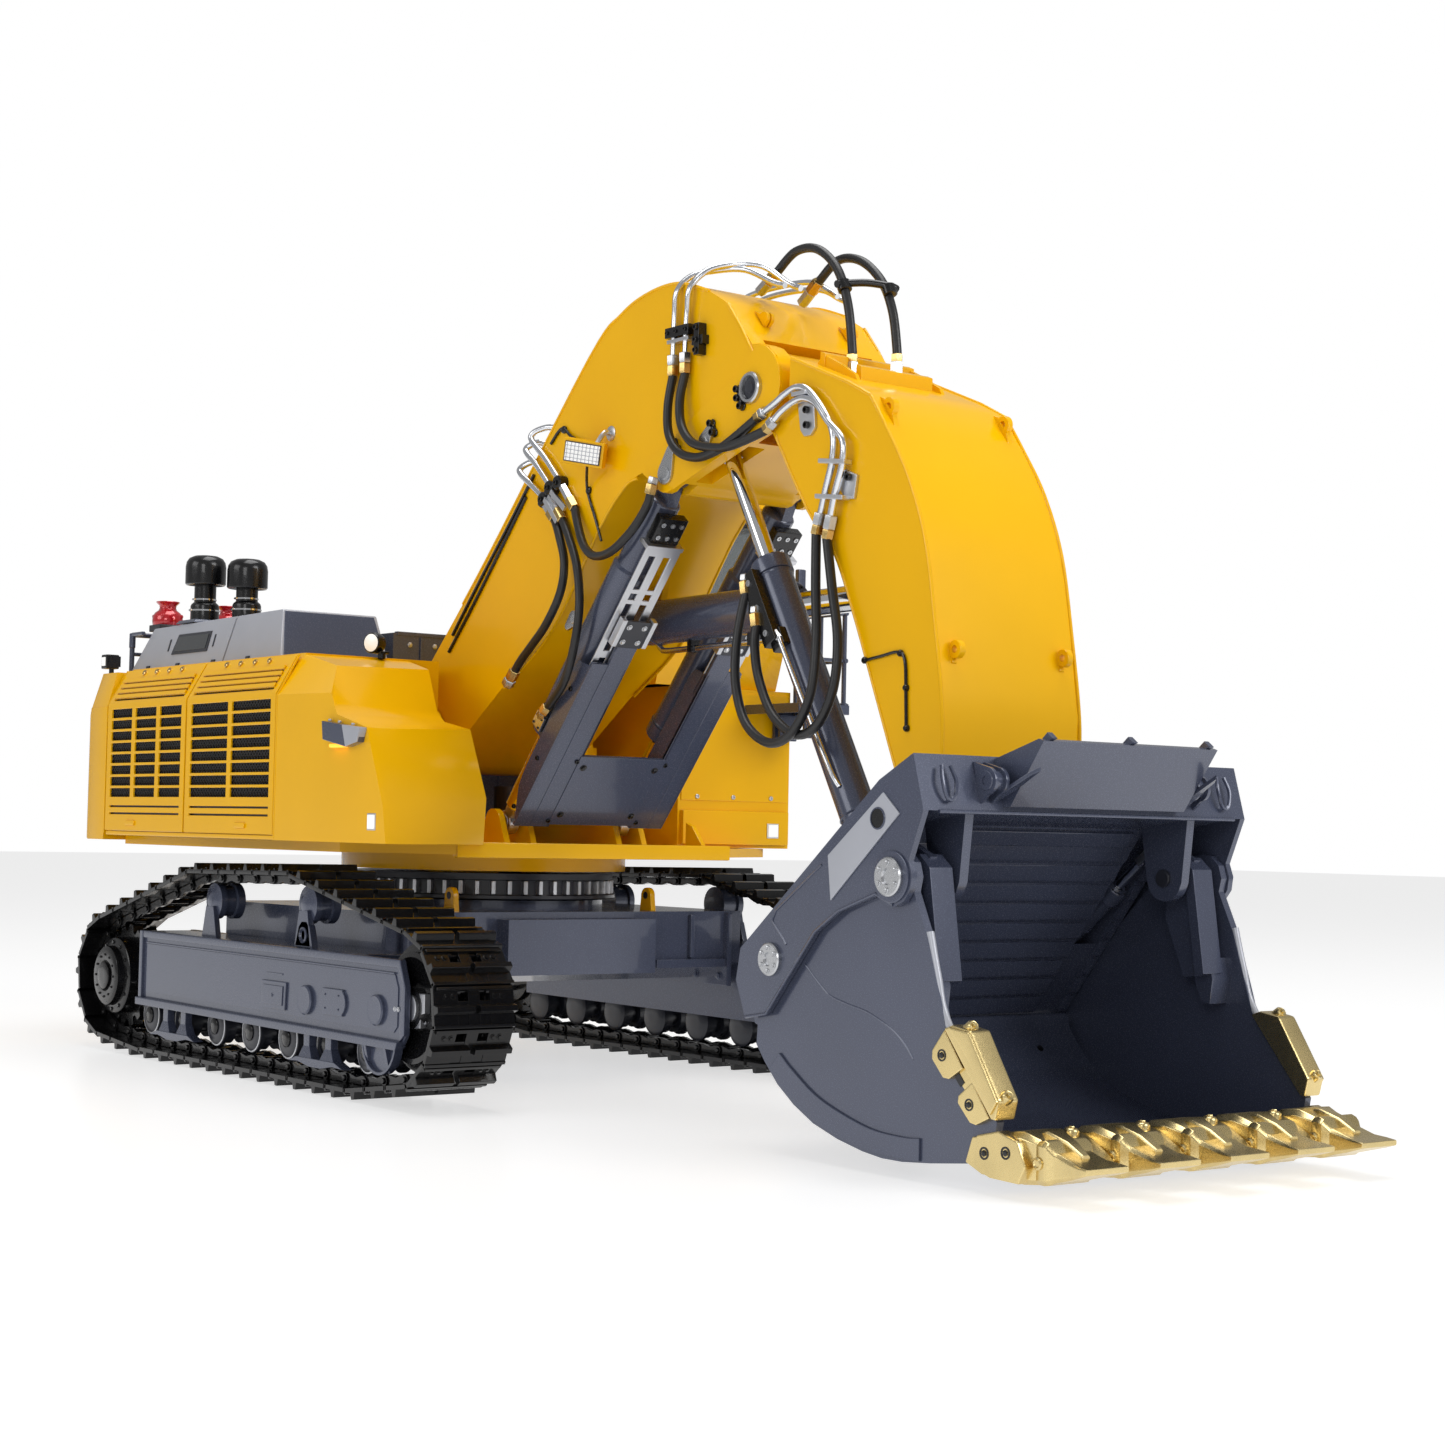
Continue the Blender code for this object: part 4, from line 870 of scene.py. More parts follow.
def wire_mesh(p, u0, u1, z0, z1):
    """Two layers of slanting wires behind the windows, crossing each other."""
    reach = (z1 - z0) * MESH_PITCH / MESH_RISE
    r = WIRE_R
    for lean, depth in ((1, 1.35), (-1, 1.75)):
        y = -BODY_Y + depth
        start = u0 - (reach if lean > 0 else 0)
        while start < u1 + (0 if lean > 0 else reach):
            ends = []
            for t in ((u0 - start) / (lean * reach), (u1 - start) / (lean * reach), 0.0, 1.0):
                u = start + lean * reach * t
                if 0 <= t <= 1 and u0 - 0.01 <= u <= u1 + 0.01:
                    ends.append((u, z0 + (z1 - z0) * t))
            if len(ends) > 1 and math.dist(ends[0], ends[1]) > 3:
                p.add([[(x - r, y, z), (x, y - 0.3, z), (x + r, y, z), (x, y + 0.3, z)] for x,
                       z in ends[:2]], 0.0)
            start += MESH_PITCH


def grille_door(word, x_range, columns, handle):
    """A service door: pierced skin, louvre lips, bolts, handle, and wire mesh over black sheets that paint
    the shade inside the casing.
    """
    x0, x1 = x_range
    p = Piece("grille_door_" + word, "door_" + word, YELLOW, 0.3)
    door_skin(p, x0, x1, columns)
    for _, high in LOUVRES:
        lip_section = [(high + 0.1, -0.3), (high + 2.5, -0.3), (high + 2.1, -1.5), (high - 0.5, -1.1)]
        door_strip(p, (x0 + 5, x1 - 5), lip_section, 0.3)
    p.paint = BRASS
    for k in range(4):
        at = door_point(x0 + (x1 - x0) * (0.26 + 0.16 * k), DOOR_FOLD + 23.2, 0)
        p.spun(at, LEAN_OUT, [(1.9, -0.2), (1.9, 0.8), (1.3, 1.4), (0.4, 1.5)], 14)
    p.paint = YELLOW
    mid = (x0 + x1) / 2 + 18 * handle
    p.plate([(mid - 6, 143.4), (mid + 6, 143.4), (mid + 7, 145), (mid + 6, 146.6), (mid - 6, 146.6),
             (mid - 7, 145)],
            -BODY_Y - 1.0, -BODY_Y + 0.2, 0.4)
    p.paint = BLACK
    wire_mesh(p, x0 + 4, x1 - 4, WINDOW_ROWS[0][0] - 1, WINDOW_ROWS[-1][1] + 1)
    # painted shade: black sheets behind the windows and the louvres stand for the dark inside of the casing
    p.paint = PLASTIC
    p.block((x0 + 3, x1 - 3), (-BODY_Y + 2.1, -BODY_Y + 2.6), (145, 220), 0.0)
    louvre_shade_sheet = [(DOOR_FOLD + 1, 1.8), (DOOR_FOLD + 22, 1.8), (DOOR_FOLD + 22, 2.3), (DOOR_FOLD + 1, 2.3)]
    door_strip(p, (x0 + 3, x1 - 3), louvre_shade_sheet, 0.0)
    p.build("yellow_paint", "door_" + word)


def work_lamp(p, at):
    """The round lamp on its post at the front of the casing's roof."""
    x, y, z = at
    aim = (0.35, -0.94, 0)
    p.paint = BLACK
    p.bar((42, -100, 244), (42, -100, 247.6), 2.4, 16)
    p.block((38, 46), (-103, -97), (247, 248.4), 0.4)
    p.spun(at, aim, [(2.5, -5), (5.6, -4), (6.2, -1), (6.2, 2.4), (5.7, 3)], 28)
    p.paint = LIT
    p.spun((x, y, z), aim, [(5.4, 2.2), (5.2, 3.0), (3.4, 3.8), (1, 4.1)], 28)


def casing_right():
    """The right casing's edge strips, lifting eye, head lamp, side lamp and round lamp."""
    p = Piece("casing_right_detail", "upper", YELLOW, 0.4)
    for x in (-200.4, 38.6):
        p.wall([(-165.2, 138), (-164.2, 138), (-164.2, 220), (-151, 243.6), (-152, 244), (-165.2, 220.4)],
               *about(x, 0.5), 0.2)
    p.block((-198, 160), (-164.6, -163), (137.2, 139.6), 0.4)
    p.spun((-60, -95, 244), UP, [(4.2, 0), (4.2, 1.6), (2.2, 2.4)], 20)
    for side in (-1, 1):
        p.add([rect(about(-60, 1.2), (-95 + side * near, -95 + side * far), z)
               for near, far, z in ((2.2, 3.6, 245), (0.4, 2.0, 254))], 0.3)
    for x, z in ((64, 238), (75.5, 213), (83.5, 207), (112, 202), (131, 163)):
        p.bolt((x + 0.6, -90, z - 3), (1, 0, 0.3), 0.9, 0.7, True)
    p.paint = SLATE
    p.plate([(100.5, 203.5), (143.6, 198.6), (141, 191), (128, 188.6), (102, 193)], -169.4, -163.5, 0.7)
    p.paint = GREY
    p.plate([(128.4, 188.8), (141, 191.2), (143.8, 198.8), (124, 200.8)], -169.6, -165, 0.3)
    for x in (106, 117, 132):
        p.bolt((x, -167, 204.2 - (x - 100) * 0.11), (0, 0, 1), 1.0, 0.8, True)
    p.paint = AMBER
    p.block((108, 124), (-168.4, -164.6), (188.6, 190.6), 0.5)
    p.paint = SATIN
    p.block(about(151.5, 4.6), (-165.3, -163.8), about(148.5, 4.6), 0.4)
    p.paint = LIT
    p.block(about(151.5, 3.8), (-165.7, -164.4), about(148.5, 3.8), 0.5)
    work_lamp(p, (38.8, -103.4, 253.4))
    p.build("yellow_paint")


def casing_left():
    """The left casing's step, front panel, square lamp and three louvred doors."""
    left = Piece("casing_left_detail", "upper", YELLOW, 0.4)
    left.block((92, 99.2), (80, 163), (139, 160), 0.8)
    left.block((95.2, 96.8), (80, 163), (166, 233.4), 0.5)
    left.paint = SATIN
    for y in (92, 120, 150):
        left.bolt((96.6, y, 168.4), (1, 0, 0), 1.5, 1.0, True)
    left.block((98.6, 99.8), (145.4, 154.6), (143.4, 152.6), 0.4)
    left.paint = LIT
    left.block((99.2, 100.4), (146.2, 153.8), (144.2, 151.8), 0.5)
    left.paint = YELLOW
    slots = [0] + [v for i in range(6) for v in (12 + 8 * i, 15 + 8 * i)] + [88]
    for x0, x1 in ((-194, -102), (-98, -6), (-2, 90)):
        left.pierced([x0, x0 + 8, x1 - 8, x1], slots, lambda i, j: i == 1 and j % 2 == 1 and j < 12,
                     lambda u, v, d: (u, 166.4 - d, 142 + v), 1.6, 0.3)
        left.paint = SATIN
        left.bolt(((x0 + x1) / 2, 166.2, 150), (0, 1, 0), 2.2, 1.4)
        left.paint = YELLOW
    left.build("yellow_paint")


HOOD_FOOT = 245.3
HOOD_SIDE = -136.0
HOOD_LEAN = 8 / 29


def hood():
    """The engine hood in two parts, with its sloped front, side window, vents and catches."""
    p = Piece("engine_hood_panels", "upper", GREY, 0.8)

    def top(x):
        return 274 + (x + 214) * 2 / 184

    for x0, x1, t0, t1 in ((-232, -96.4, -214, -92.6), (-94.6, -16, -90.8, -30)):
        high = [(t0, -128, top(t0)), (t1, -128, top(t1)), (t1, -64, top(t1)), (t0, -64, top(t0))]
        p.add([rect((x0, x1), (HOOD_SIDE, -62), HOOD_FOOT), high], 1.0)
    p.paint = SLATE
    p.add([[(x, y0, z), (x, y1, z), (x - 1, y1, z), (x - 1, y0, z)]
           for x, y0, y1, z in ((-15.2, -134, -64, 246), (-29.4, -127, -66, 275))], 0.3)

    def panel(outline, proud, bevel=0.4):
        p.add([[(u, HOOD_SIDE + (z - HOOD_FOOT) * HOOD_LEAN - out, z) for u, z in outline]
               for out in (proud, -0.8)], bevel)

    def box_panel(u, half, z0, z1, proud, bevel):
        panel([(u - half, z0), (u + half, z0), (u + half, z1), (u - half, z1)], proud, bevel)

    p.paint = DARK
    panel([(-174, 254.4), (-121.5, 254.4), (-121.5, 267.6), (-170, 267.6)], 0.8)
    p.paint = SCREEN
    panel([(-170.5, 256.2), (-124, 256.2), (-124, 265.8), (-168, 265.8)], 1.2, 0.3)
    p.paint = DARK
    for u in (-181, -115):
        box_panel(u, 0.9, 257, 265, 0.5, 0.2)
    for u in (-205, -160, -108, -60):
        box_panel(u, 2.4, 246.6, 248.4, 0.9, 0.3)
    p.build("light_grey_paint", "engine_hood")


CLEANER_FOOT = 276.0
EXHAUST_X, EXHAUST_FOOT = -225, 277.4


def air_cleaner(word, x, y, top):
    """A black canister with two bright bands, on its slate foot, under its rain cap."""
    p = Piece("air_cleaner_detail_" + word, "upper", BLACK, 0.0)
    z0 = CLEANER_FOOT
    neck = top - 20
    body = [(10.2, z0), (10.2, z0 + 1.2), (9.2, z0 + 1.8), (9.2, z0 + 10.6), (8.6, z0 + 12),
            (7.0, z0 + 13.4)]
    p.spun((x, y, 0), UP, body + [(7.0, neck + 2)], 40)
    cap = [(7.5, neck + 2.6), (12.4, neck + 0.6), (13.0, neck + 1.4), (13.0, top - 7.6), (12.4, top - 4.4)]
    cap += [(10.8, top - 2.0), (7.6, top - 0.5), (3.4, top), (0.4, top)]
    p.spun((x, y, 0), UP, cap, 44)
    p.paint = SLATE
    p.add([rect(about(x, half), about(y, half), z) for half, z in ((14, z0 - 1), (12, z0 + 1.4))], 0.6)
    p.paint = CHROME
    for r, z in ((9.6, z0 + 7.2), (7.4, z0 + 14.4)):
        p.spun((x, y, z), UP, [(r - 0.6, 0), (r, 0.1), (r, 1.1), (r - 0.6, 1.2)], 40)
        p.bar((x + 1.5, y - r - 0.4, z + 0.6), (x - 1.8, y - r - 0.4, z + 0.6), 0.7, 8)
    for a, b in round_places((x, y), 8.4, 6, 0):
        p.bolt((a, b, z0 + 1.2), UP, 0.7, 0.8)
    p.build("black_gloss", "air_cleaner_" + word)


def exhausts():
    """Two red flared pots with their side screws, on one dark foot plate."""
    p = Piece("exhaust_pots", "upper", RED, 0.0)
    profile = [(8.8, -1), (9.8, 0.6), (10.1, 3), (9.9, 6), (8.4, 8.6), (6.0, 10.4), (5.4, 12), (5.7, 13.6),
               (7.4, 15.2),
               (7.9, 15.8), (7.5, 16.2), (5.2, 14.8), (4.4, 11), (4.2, 8)]
    for y in (-114, -70):
        p.spun((EXHAUST_X, y, EXHAUST_FOOT), UP, profile, 36)
        for c, s in round_places((0, 0), 1, 4):
            p.spun((EXHAUST_X + 8.8 * c, y + 8.8 * s, 283.6), (c, s, 0), [(1.3, 0), (1.3, 1.4), (0.8, 1.8)],
                   10)
    p.paint = DARK
    p.block((-232, -215), (-124, -60), (273, 277.6), 0.6)
    p.build("red_paint", "exhaust")


def rear_rail(p):
    """The handrail behind the exhausts, with its lamp."""
    x = -240
    for y in (-132, -66):
        p.bar((x, y, 243), (x, y, 272), 1.7, 12)
        p.bar((x, y, 262), (x, y + 0.1, 272), 2.1, 12)
        p.bar((x, y, 271), (-222, y, 271), 1.5, 12)
        p.spun((x, y, 242.6), UP, [(4, 0), (4, 1.4), (2.6, 2)], 16)
    for z, r in ((271, 1.7), (258, 1.3)):
        p.bar((x, -132, z), (x, -66, z), r, 12)
    p.paint = BLACK
    p.bar((-231, -150, 241), (-231, -150, 247), 1.6, 12)
    p.block((-235.5, -226.5), (-155.5, -146.5), (246.5, 256), 0.9)
    for k in range(5):
        p.block((-235 + k * 1.8, -234.2 + k * 1.8), (-146.6, -145.4), (248, 255), 0.0)
    p.paint = LIT
    p.block((-233.8, -228.2), (-156, -155.2), (248.4, 254.2), 0.4)


def deck_wall_details(p):
    """Cap strips, posts and bolts of the wall round the middle of the deck."""
    p.paint = SLATE
    for y0, y1, x in ((-47, 47, -33), (-57, -50, -92), (50, 72, -92)):
        p.block((x - 3.6, x + 0.4), (y0 - 0.4, y1 + 0.4), (265.4, 268), 0.5)
    for x in (-84, -66, -48):
        for y in ((-51.4, -50), (50, 51.4)):
            p.block(about(x, 1), y, (137.5, 266), 0.3)
    for y in (-30, -10, 10, 30):
        p.block((-33.2, -31.8), about(y, 1), (138, 265), 0.3)
    p.paint = SATIN
    for y in (-38, -20, 0, 20, 38):
        for z in (152, 206, 260):
            p.bolt((-32.9, y, z), (1, 0, 0), 1.2, 0.9)


def roof_details():
    """What stands on the body's roof: rail, deck wall, lifting points, grating and the tread plate."""
    p = Piece("roof_details", "upper", SLATE, 0.3)
    rear_rail(p)
    deck_wall_details(p)
    p.paint = YELLOW
    for x in (-185, -60):
        for y in (100, 146):
            p.spun((x, y, 235.6), UP, [(4, 0), (4, 1.4), (2, 2.2), (2, 5), (3.6, 5.6), (3.6, 8.6), (1, 9)],
                   18)
    p.paint = DARK
    p.block((-150, -100), (96, 150), (235.4, 238.4), 0.8)
    for k in range(11):
        p.block((-147 + k * 4.2, -145 + k * 4.2), (99, 147), (238, 239.6), 0.3)
    p.paint = SLATE
    p.block((-192, -40), (-56, 76), (242, 244.4), 0.4)
    for k in range(9):
        for j in range(7):
            x, y = -184 + k * 17, -48 + j * 19
            p.add([rect(about(x, 4), about(y, 0.8), 244), rect(about(x, 3), about(y, 0.3), 244.8)], 0.0)
    p.build("slate_paint")


def cab_frames(p):
    """Rubber frames round the panes, and the windscreen's wiper."""
    panes = [(-16, 268), (84, 268), (76, 342), (-16, 342)]
    inner = [(-13, 271), (80.4, 271), (73, 339), (-13, 339)]
    for y0, y1 in ((61.2, 63), (155, 156.8)):
        for section in zip(panes, panes[1:] + panes[:1], inner[1:] + inner[:1], inner):
            p.plate(section, y0, y1, 0.3)
    for x, z in ((98.1, 269), (88.1, 341)):
        p.bar((x, 73, z), (x, 145, z), 1.2, 10)
    for y in (73, 145):
        p.bar((98.1, y, 269), (88.1, y, 341), 1.2, 10)
    p.bar((98.4, 104, 271), (94.4, 122, 300), 0.8, 8)
    p.bar((95.2, 116, 290), (92.2, 127, 318), 1.1, 8)


def cab_outside(p):
    """Door panel, roof panel, grab rail, mirror, four roof lamps and the beacon."""
    p.paint = YELLOW
    p.block((-22, 30), (156, 157.2), (240, 264), 0.4)
    p.slab([(-20, 70), (84, 70), (90, 82), (90, 136), (84, 148), (-20, 148)], 356.8, 359.2, 0.8)
    p.paint = SLATE
    p.bar((24, 159.5, 246), (24, 159.5, 296), 1.3, 12)
    for z in (247, 295):
        p.bar((24, 156, z), (24, 159.8, z), 1.2, 10)
    p.bar((99, 158, 300), (104, 165, 306), 1.0, 10)
    p.block((102, 106), (162, 168), (292, 314), 1.0)
    for y in (74, 92, 126, 144):
        p.paint = BLACK
        p.spun((93, y, 361), (1, 0, 0), [(2.4, -5), (4, -3), (4.4, 0), (4.4, 2), (4, 2.5)], 24)
        p.bar((91, y, 356), (91, y, 358.4), 1.2, 10)
        p.paint = LIT
        p.spun((93, y, 361), (1, 0, 0), [(3.8, 2), (3.6, 2.7), (1, 3.2)], 24)
    p.paint = BLACK
    p.spun((-10, 109, 359), UP, [(5.4, 0), (5.4, 2.4), (4.4, 3)], 24)
    p.paint = AMBER
    p.spun((-10, 109, 361.4), UP, [(4, 0), (4, 5), (3.2, 7), (1, 8)], 24)


def cab_inside(p):
    """Moulded seat with its head and arm rests, its box, the console with its screen, and two levers."""
    p.paint = SEAT
    p.plate([(2, 262), (30, 262)] + arc((31, 265.5), 3.4, -80, 80, 5) + [(4, 268)], 94, 124, 1.6)
    p.plate([(-2, 266), (6, 267), (1, 302), (-6, 302)], 95, 123, 2.0)
    p.plate([(-6, 303.5), (1, 303.5), (0, 312), (-6, 312)], 101, 117, 1.6)
    for y in (88, 126):
        p.block((-2, 26), (y, y + 4), (274, 277), 0.9)
    p.paint = PLASTIC
    p.block((4, 28), (98, 120), (237, 262), 1.2)
    p.plate([(60, 238), (80, 238), (76, 278), (66, 282)], 92, 126, 1.4)
    p.add([[(64, 96, 283), (76, 96, 281), (76, 122, 281), (64, 122, 283)], rect((60, 63), (98, 120), 296)],
          0.6)
    for y in (90, 128):
        p.bar((24, y, 276), (27, y, 286), 0.9, 8)
        p.spun((27, y, 285), (0.3, 0, 1), [(1.1, 0), (1.8, 1.5), (1.8, 5), (1, 6.4)], 12)


def cab():
    p = Piece("cab_details", "upper", PLASTIC, 0.4)
    cab_frames(p)
    cab_outside(p)
    cab_inside(p)
    p.build("black_plastic")


RAIL_Y = 166


def catwalk():
    """Pierced walkway beside the cab, with its edge beams, brackets and handrails."""
    p = Piece("catwalk_rails", "upper", SLATE, 0.3)
    p.pierced([97 + i * 53 / 20 for i in range(21)], [128 + i * 4 for i in range(11)],
              lambda i, j: 0 < i < 19 and 0 < j < 9 and (i + j) % 2 == 0,
              lambda u, v, d: (u, v, 225 - d), 1.6, 0.0)
    for y in (128.6, 167.4):
        p.block((97, 150), about(y, 0.8), (220.5, 226.4), 0.3)
    p.block((148.6, 150.4), (128, 168), (220.5, 226.4), 0.3)
    for x in (100, 124, 147):
        p.bar((x, RAIL_Y, 221), (x, RAIL_Y, 283.5), 1.5, 14)
        p.spun((x, RAIL_Y, 226), UP, [(3.2, 0), (3.2, 1.2), (1.8, 2)], 14)
    for z in (254, 283.5):
        p.tube(flat([(98, z), (110, z), (138, z), (149.2, z)], RAIL_Y), 1.5, 12, 3)
    for start, z0, z1, r in ((RAIL_Y, 283.5, 283.5, 1.4), (131, 222, 284, 1.4), (RAIL_Y, 254, 254, 1.2)):
        p.bar((147, start, z0), (147, 131, z1), r, 12)
    p.block((97, 99.5), (150, 168), (205, 224), 0.5)
    for x in (104, 128):
        p.block(about(x, 1), (150, RAIL_Y), (206, 221), 0.3)
    p.build("slate_paint", "catwalk_left")


TAIL = (-346, -345.2)


def counterweight_details():
    """Lifting eyes on the counterweight, and two ribs, a grille and the tail lamps on its back."""
    p = Piece("counterweight_detail", "upper", YELLOW, 0.6)
    for y in (-60, 60):
        p.spun((-300, y, 242.4), UP, [(7, 0), (7, 1.6), (5, 2.4)], 28)
        p.plate([(-306, 243), (-294, 243)] + arc((-300, 252), 4.6, -10, 190, 8), *about(y, 2), 0.5)
    for z in (150, 206):
        p.block((-345.4, -343.4), (-98, 98), (z, z + 3), 0.5)
    p.paint = DARK
    for _, side in SIDES:
        p.block((-345.6, -343.6), span(side, 70, 92), (158, 172), 0.6)
    p.block((-345.6, -343.6), (-40, 40), (168, 200), 0.8)
    for k in range(9):
        p.block(TAIL, (-37, 37), (171 + k * 3.1, 172.4 + k * 3.1), 0.2)
    for paint, near, far in ((RED, 73, 81), (AMBER, 82.5, 89.5)):
        p.paint = paint
        for _, side in SIDES:
            p.block(TAIL, span(side, near, far), (160, 170), 0.4)
    p.build("yellow_paint")


def deck_details():
    """The boom foot's curved cheeks, the deck's front edge with its gussets, and the foot pin's caps."""
    p = Piece("deck_cheeks", "upper", YELLOW, 0.6)
    hollow = (92, 196)
    cheek = [(-40, 137), (70, 137)] + arc(hollow, 60, 258, 178, 12) + [(20, 236), (6, 232), (-12, 214)]
    p.plates(cheek, BODY_Y - 109.5, BODY_Y - 106.5)
    rim = [(66, 137)] + arc(hollow, 60, 256, 178, 12) + arc(hollow, 65.5, 178, 250, 12)
    p.plates(rim, BODY_Y - 112, BODY_Y - 104)
    p.block((121.5, 126.2), (-96, 96), (129.6, 138.4), 0.8)
    for y in (-80, 80):
        p.plate([(104, 137), (122, 137), (110, 150), (104, 152)], *about(y, 1.6), 0.4)
    p.paint = STEEL
    for _, side in SIDES:
        p.spun((BOOM_FOOT[0], side * 55.4, BOOM_FOOT[1]), (0, side, 0), [(9, 0), (9, 2), (8, 2.8)], 28)
    p.build("yellow_paint")


for door_values in DOORS:
    grille_door(*door_values)
casing_right()
casing_left()
hood()
air_cleaner("front", -138, -99, 317.0)
air_cleaner("rear", -166, -115, 320.0)
exhausts()
roof_details()
cab()
catwalk()
counterweight_details()
deck_details()




# ---------------------------------------------------------------- cylinders

STICK_PIVOT = (323.0, 373.0)
LIFT_FOOT, LIFT_HEAD = (89.0, 150.0), (250.0, 339.0)
CROWD_FOOT, CROWD_HEAD = (155.0, 264.0), (392.0, 268.0)
TILT_HEAD, TILT_FOOT = (284.0, 353.0), (410.0, 132.0)
CLAM_FOOT, CLAM_HEAD = (417.0, 89.0), (483.0, 143.0)
BUCKET_PIVOT = (449.0, 152.0)
CLAM_PIVOT = (499.5, 129.0)
LIFT_Y, TILT_Y, CLAM_Y = 39.5, 34.0, 79.5
LIFT_SIZES = (11.0, 6.5, 180.0, 9.0, 3.4, 194.0)
CROWD_SIZES = (12.5, 7.0, 146.0, 8.0, 7.0, 168.0)
TILT_SIZES = (9.5, 4.6, 176.0, 8.0, 4.0, 168.0)
CLAM_SIZES = (5.0, 2.4, 55.0, 5.5, 2.5, 44.0)
GAP = 0.3


def lie(a, b, y=0.0):
    """Lays a form drawn with X along a line, Y across the machine and Z to its left."""
    ahead = along(a, b, 1.0)
    ux, uz = ahead[0] - a[0], ahead[1] - a[1]
    return Matrix(((ux, 0, -uz, a[0]), (0, 1, 0, y), (uz, 0, ux, a[1]), (0, 0, 0, 1)))


def eye(piece, radius, half, hole, paint):
    """A bored eye with a bush standing slightly proud of each face."""
    piece.collar((0, 0, 0), (0, 1, 0), hole, radius, -half, half, 0.5)
    piece.paint = STEEL
    piece.collar((0, 0, 0), (0, 1, 0), hole, hole + 1.1, -half - 0.4, half + 0.4, 0.2)
    piece.paint = paint
    return piece


def own_pin(form, half, hole):
    """The pin of an open pivot, which belongs to the cylinder's end."""
    form.paint = DARK
    narrow, wide = hole * 0.8, hole * 0.92
    profile = [(narrow, 0), (wide, 0.3), (wide, 2 * half + 0.6), (narrow, 2 * half + 0.9)]
    form.spun((0, -half - 0.45, 0), (0, 1, 0), profile, 20)


def barrel_form(sizes, stepped=0.0, pinned=False):
    """Closed end, tube with weld beads, bolted gland and the bore the rod slides in."""
    r, rod_r, length, eye_r, half, _ = sizes
    form = Piece("barrel", "boom", SLATE, 0.3)
    eye(form, eye_r, half, 0.4 * eye_r, SLATE)
    if pinned:
        own_pin(form, half, 0.4 * eye_r)
        form.paint = SLATE
    neck = 0.6 * eye_r
    form.plate([(eye_r * 0.7, -neck), (eye_r + 9, -r * 0.75), (eye_r + 9, r * 0.75), (eye_r * 0.7, neck)],
               -half, half)
    thin = r * (0.86 if stepped else 1.0)
    start = eye_r + 7
    step = stepped or start + 12
    gland = length - max(9.0, r * 0.9)
    form.spun((0, 0, 0), (1, 0, 0), [
        (r * 0.55, start), (thin - 0.6, start + 2.5), (thin, start + 3.4), (thin, step),
                                     (thin + 0.5, step + 0.5),
        (r, step + 1.6), (r, gland - 1.4), (r + 0.5, gland - 0.8), (r + 0.5, gland), (r, gland + 0.3),
        (r + 1.0, gland + 0.7), (r + 1.0, length - 1.0), (r + 0.4, length), (rod_r + 1.8, length),
        (rod_r + 1.4, length + 1.0), (rod_r + GAP, length + 1.0), (rod_r + GAP, eye_r + 17)], 40)
    form.paint = BLACK
    for y, z in round_places((0, 0), (r + rod_r + 2.4) / 2, 8):
        form.bolt((length, y, z), (1, 0, 0), max(0.5, r * 0.09), r * 0.1, True)
    return form


def rod_form(sizes, pinned=True):
    """Bright rod with its turned foot and bored eye."""
    _, rod_r, _, eye_r, half, length = sizes
    form = Piece("rod", "boom", SATIN, 0.3)
    eye(form, eye_r - 2, half, 0.4 * eye_r, SATIN)
    if pinned:
        own_pin(form, half, 0.4 * eye_r)
        form.paint = SATIN
    shank = 0.36 * eye_r
    form.plate([(eye_r * 0.6, -shank), (eye_r + 6, -rod_r * 0.8), (eye_r + 6, rod_r * 0.8),
                (eye_r * 0.6, shank)],
               -half, half)
    form.paint = CHROME
    form.spun((0, 0, 0), (1, 0, 0), [(rod_r * 0.8, eye_r + 3), (rod_r, eye_r + 4.5), (rod_r, length - 0.6),
                                     (rod_r - 0.6, length)], 36)
    return form


def port(form, x, y, z, out, r, paint=STEEL):
    """A flanged port block with four bolts, facing outwards."""
    form.paint = paint
    form.block(about(x, r), span(out, y, y + r * 0.9), about(z, r), 0.4)
    form.paint = BLACK
    for dx in (-0.62, 0.62):
        for dz in (-0.62, 0.62):
            form.bolt((x + dx * r, out * (y + r * 0.9), z + dz * r), (0, out, 0), r * 0.17, r * 0.14, True)


def nut(piece, a, b, r, paint):
    """A hexagon fitting from a to b with chamfered ends."""
    piece.paint = paint
    length = (Vector(b) - Vector(a)).length
    profile = [(r * 0.88, 0), (r, r * 0.14), (r, length - r * 0.14), (r * 0.88, length)]
    piece.spun(a, Vector(b) - Vector(a), profile, 6)


def fitting(piece, points, *nuts):
    """Hexagons end to end through the points, each with its radius and paint."""
    for a, b, (r, paint) in zip(points, points[1:], nuts):
        nut(piece, a, b, r, paint)


def ram(word, side, names, bodies, foot, head, y, sizes, fit, stepped=0.0, open_end="rod"):
    """Barrel and rod of one cylinder; open_end names the end whose pin it carries itself."""
    barrel = Piece(names[0] + "detail" + word, bodies[0], SLATE)
    form = barrel_form(sizes, stepped, open_end == "barrel")
    fit(form, side)
    barrel.stamp(form, lie(head, foot, side * y)).build("slate_paint", names[0] + word)
    rod = Piece(names[1] + "detail" + word, bodies[1], CHROME)
    rod.stamp(rod_form(sizes, open_end == "rod"), lie(foot, head, side * y)).build("chrome", names[1] + word)


def fit_lift(form, side):
    """Port blocks on a lift barrel, with its slotted slide plate; +Z of the form faces forward."""
    port(form, 171.0, 10.6, 2.0, side, 4.6)
    form.paint = BLACK
    form.block((21, 37), (-9, 9), (9.5, 15.5), 0.6)
    form.paint = STEEL
    for y in (-6, 0, 6):
        for x in (25, 33):
            form.spun((x, y, 15.4), (0, 0, 1), [(1.4, 0), (1.4, 0.7), (0.7, 0.7), (0.6, 0.2)], 14)
    slide_plate(form)


